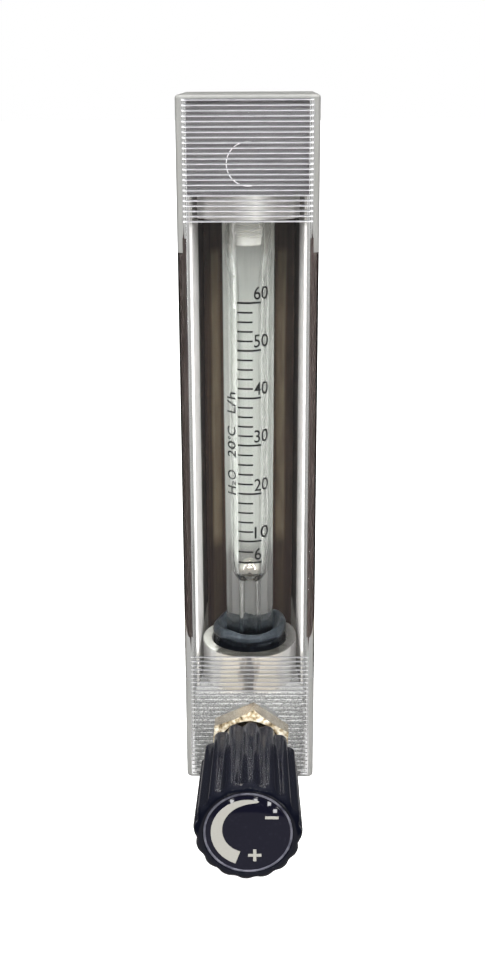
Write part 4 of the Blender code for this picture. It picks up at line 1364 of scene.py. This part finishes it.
def make_floor():
    """A wide floor, pale to the camera and darker in reflections and through the acrylic."""
    form = bmesh.new()
    bmesh.ops.create_circle(form, cap_ends=True, segments=96, radius=4.0)
    made = Finish("pale_floor", grey(0.8), 0.9)
    made.set("Emission Color", (1.0, 1.0, 1.0))
    made.set("Emission Strength", 0.78)
    bow = made.math("DIVIDE", made.math("MULTIPLY", made.axis(0), made.axis(0)), 30 * MM)
    ahead = made.math("SUBTRACT", made.axis(1), bow)
    near = made.span(ahead, FLOOR_EDGE - 0.3 * MM, FLOOR_EDGE + 0.3 * MM)
    behind = made.span(made.axis(1), -30 * MM, 10 * MM)
    reflected = made.mix(behind, made.mix(near, FLOOR_FAR, FLOOR_NEAR), FLOOR_BEHIND)
    glow = made.nodes.new("ShaderNodeEmission")
    made.feed(glow.inputs[0], made.mix(made.passed(0), reflected, FLOOR_THROUGH))
    made.surface(made.switch(made.ray("Is Camera Ray"), glow.outputs[0], made.shader.outputs[0]))
    floor = add("floor", form, made.material, (0, 0, CAD_BOX[0].z - 0.4 * MM))


def make_card(name, size, place, target, glow, glow_through):
    """A flat glowing card for the object's reflections, which refractions may see differently."""
    form = bmesh.new()
    bmesh.ops.create_grid(form, x_segments=1, y_segments=1, size=0.5, matrix=Matrix.Diagonal((*size, 1, 1)))
    made = Finish(name + "_surface", (0, 0, 0), 1.0, Specular_IOR_Level=0.0)
    made.set("Emission Color", (1.0, 0.97, 0.94))
    made.set("Emission Strength", made.span(made.passed(0), 0.0, 1.0, glow, glow_through))
    aim = (Vector(target) - Vector(place)).to_track_quat("Z", "Y").to_euler()
    card = add(name, form, made.material, place, aim)
    card.visible_camera = False
    card.visible_diffuse = False
    card.visible_shadow = False


def make_world():
    """White to the camera, a dim room to reflections, and a brighter one to everything else."""
    world = bpy.data.worlds.new("studio")
    bpy.context.scene.world = world
    world.use_nodes = True
    made = Graph(world.node_tree)
    upward = made.span(made.axis_of(made.point("Generated"), 2), -1.0, 1.0)
    seen, reflected = [
        made.ramp(upward, [(i / (len(levels) - 1), grey(level)) for i, level in enumerate(levels)])
        for levels in (ROOM, ROOM_REFLECTED)
    ]
    reflects = made.math("SUBTRACT", made.ray("Is Glossy Ray"), made.ray("Transmission Depth"))
    seen = made.mix(reflects, seen, reflected)
    seen = made.mix(made.ray("Is Camera Ray"), seen, (1.0, 1.0, 1.0))
    made.feed(made.nodes["Background"].inputs[0], seen)


def make_lamp(name, size, place, power, target=(0, 0, 0), glossy=True):
    """A rectangular lamp. Those that aren't glossy leave no highlight."""
    data = bpy.data.lights.new(name, "AREA")
    data.shape = "RECTANGLE"
    data.size, data.size_y = size
    data.energy = power
    lamp = bpy.data.objects.new(name, data)
    lamp.location = place
    lamp.rotation_euler = (Vector(target) - Vector(place)).to_track_quat("-Z", "Y").to_euler()
    lamp.visible_glossy = glossy
    bpy.context.scene.collection.objects.link(lamp)


def make_camera():
    """A camera a little right of the axis and above the top, looking down the front."""
    ahead = Vector((math.sin(YAW) * math.cos(PITCH), math.cos(YAW) * math.cos(PITCH), -math.sin(PITCH)))
    right = Vector((math.cos(YAW), -math.sin(YAW), 0))
    up = right.cross(ahead)
    across = right * math.cos(ROLL) + up * math.sin(ROLL)
    upward = up * math.cos(ROLL) - right * math.sin(ROLL)
    data = bpy.data.cameras.new("camera")
    data.sensor_fit = "AUTO"
    data.sensor_width = 36
    data.lens = LENS
    data.clip_start = 0.01
    data.clip_end = 20
    camera = bpy.data.objects.new("camera", data)
    turn = Matrix((across, upward, -ahead)).transposed().to_4x4()
    camera.matrix_world = Matrix.Translation(CAMERA_AT) @ turn
    bpy.context.scene.collection.objects.link(camera)
    bpy.context.scene.camera = camera


def make_studio():
    make_floor()
    make_world()
    make_card("dark_room", (2.4, 0.9), (0, -1.3, 0.35), (0, 0, 0.2), 0.05, 0.5)
    left, right, front = (-0.75, -0.35, 0.3), (0.6, -0.5, 0.35), (0.05, -1.0, 0.62)
    make_lamp("overhead", (0.6, 0.5), (0.1, -0.25, 0.9), 10, glossy=False)
    make_lamp("left_window", (0.25, 0.8), left, 7, glossy=False)
    make_lamp("right_window", (0.12, 0.7), right, 5.5, glossy=False)
    make_lamp("front_window", (0.7, 0.25), front, 8, glossy=False)
    make_lamp("left_strip", (0.06, 0.4), left, 0.9)
    make_lamp("right_strip", (0.05, 0.35), right, 0.9)
    for i, x in enumerate((-0.34, 0.03, 0.36)):
        make_lamp(f"strip_{i}", (0.05, 0.22), (x, front[1], front[2]), 0.22)
    for i, (aside, above) in enumerate(SPARKS):
        on_cap = Vector((aside * MM, -CAP_FACE, VALVE_HEIGHT + above * MM))
        seen = on_cap - CAMERA_AT
        drop = (CAD_BOX[0].z - on_cap.z) / seen.z
        place = on_cap + drop * Vector((seen.x, -seen.y, seen.z))
        make_lamp(f"spark_{i}", (0.8 * MM, 0.8 * MM), place, 3e-5, on_cap)


def set_film():
    scene = bpy.context.scene
    scene.view_settings.view_transform = "Standard"
    scene.view_settings.look = "None"
    cycles = scene.cycles
    cycles.use_denoising = True
    cycles.max_bounces = 20
    cycles.transmission_bounces = 16
    cycles.glossy_bounces = 8
    cycles.transparent_max_bounces = 24
    cycles.sample_clamp_indirect = 6.0
    cycles.caustics_reflective = True
    cycles.caustics_refractive = True


def main():
    make_cover()
    make_channel()
    make_blocks()
    make_block_screws()
    make_tube()
    make_ball()
    make_float_stop()
    make_upper_seal()
    make_lower_seal()
    make_o_rings()
    make_scale()
    make_bonnet()
    make_washer("bonnet_washer", FORWARD)
    make_spindle()
    make_knob()
    make_cap()
    make_cap_marks()
    make_knob_screw()
    for level, height in (("upper", PORT_HEIGHT), ("lower", VALVE_HEIGHT)):
        make_connector(level, height)
        make_washer(f"{level}_panel_washer", BACKWARD)
        make_panel_nut(level, height)
    make_studio()
    make_camera()
    set_film()


main()
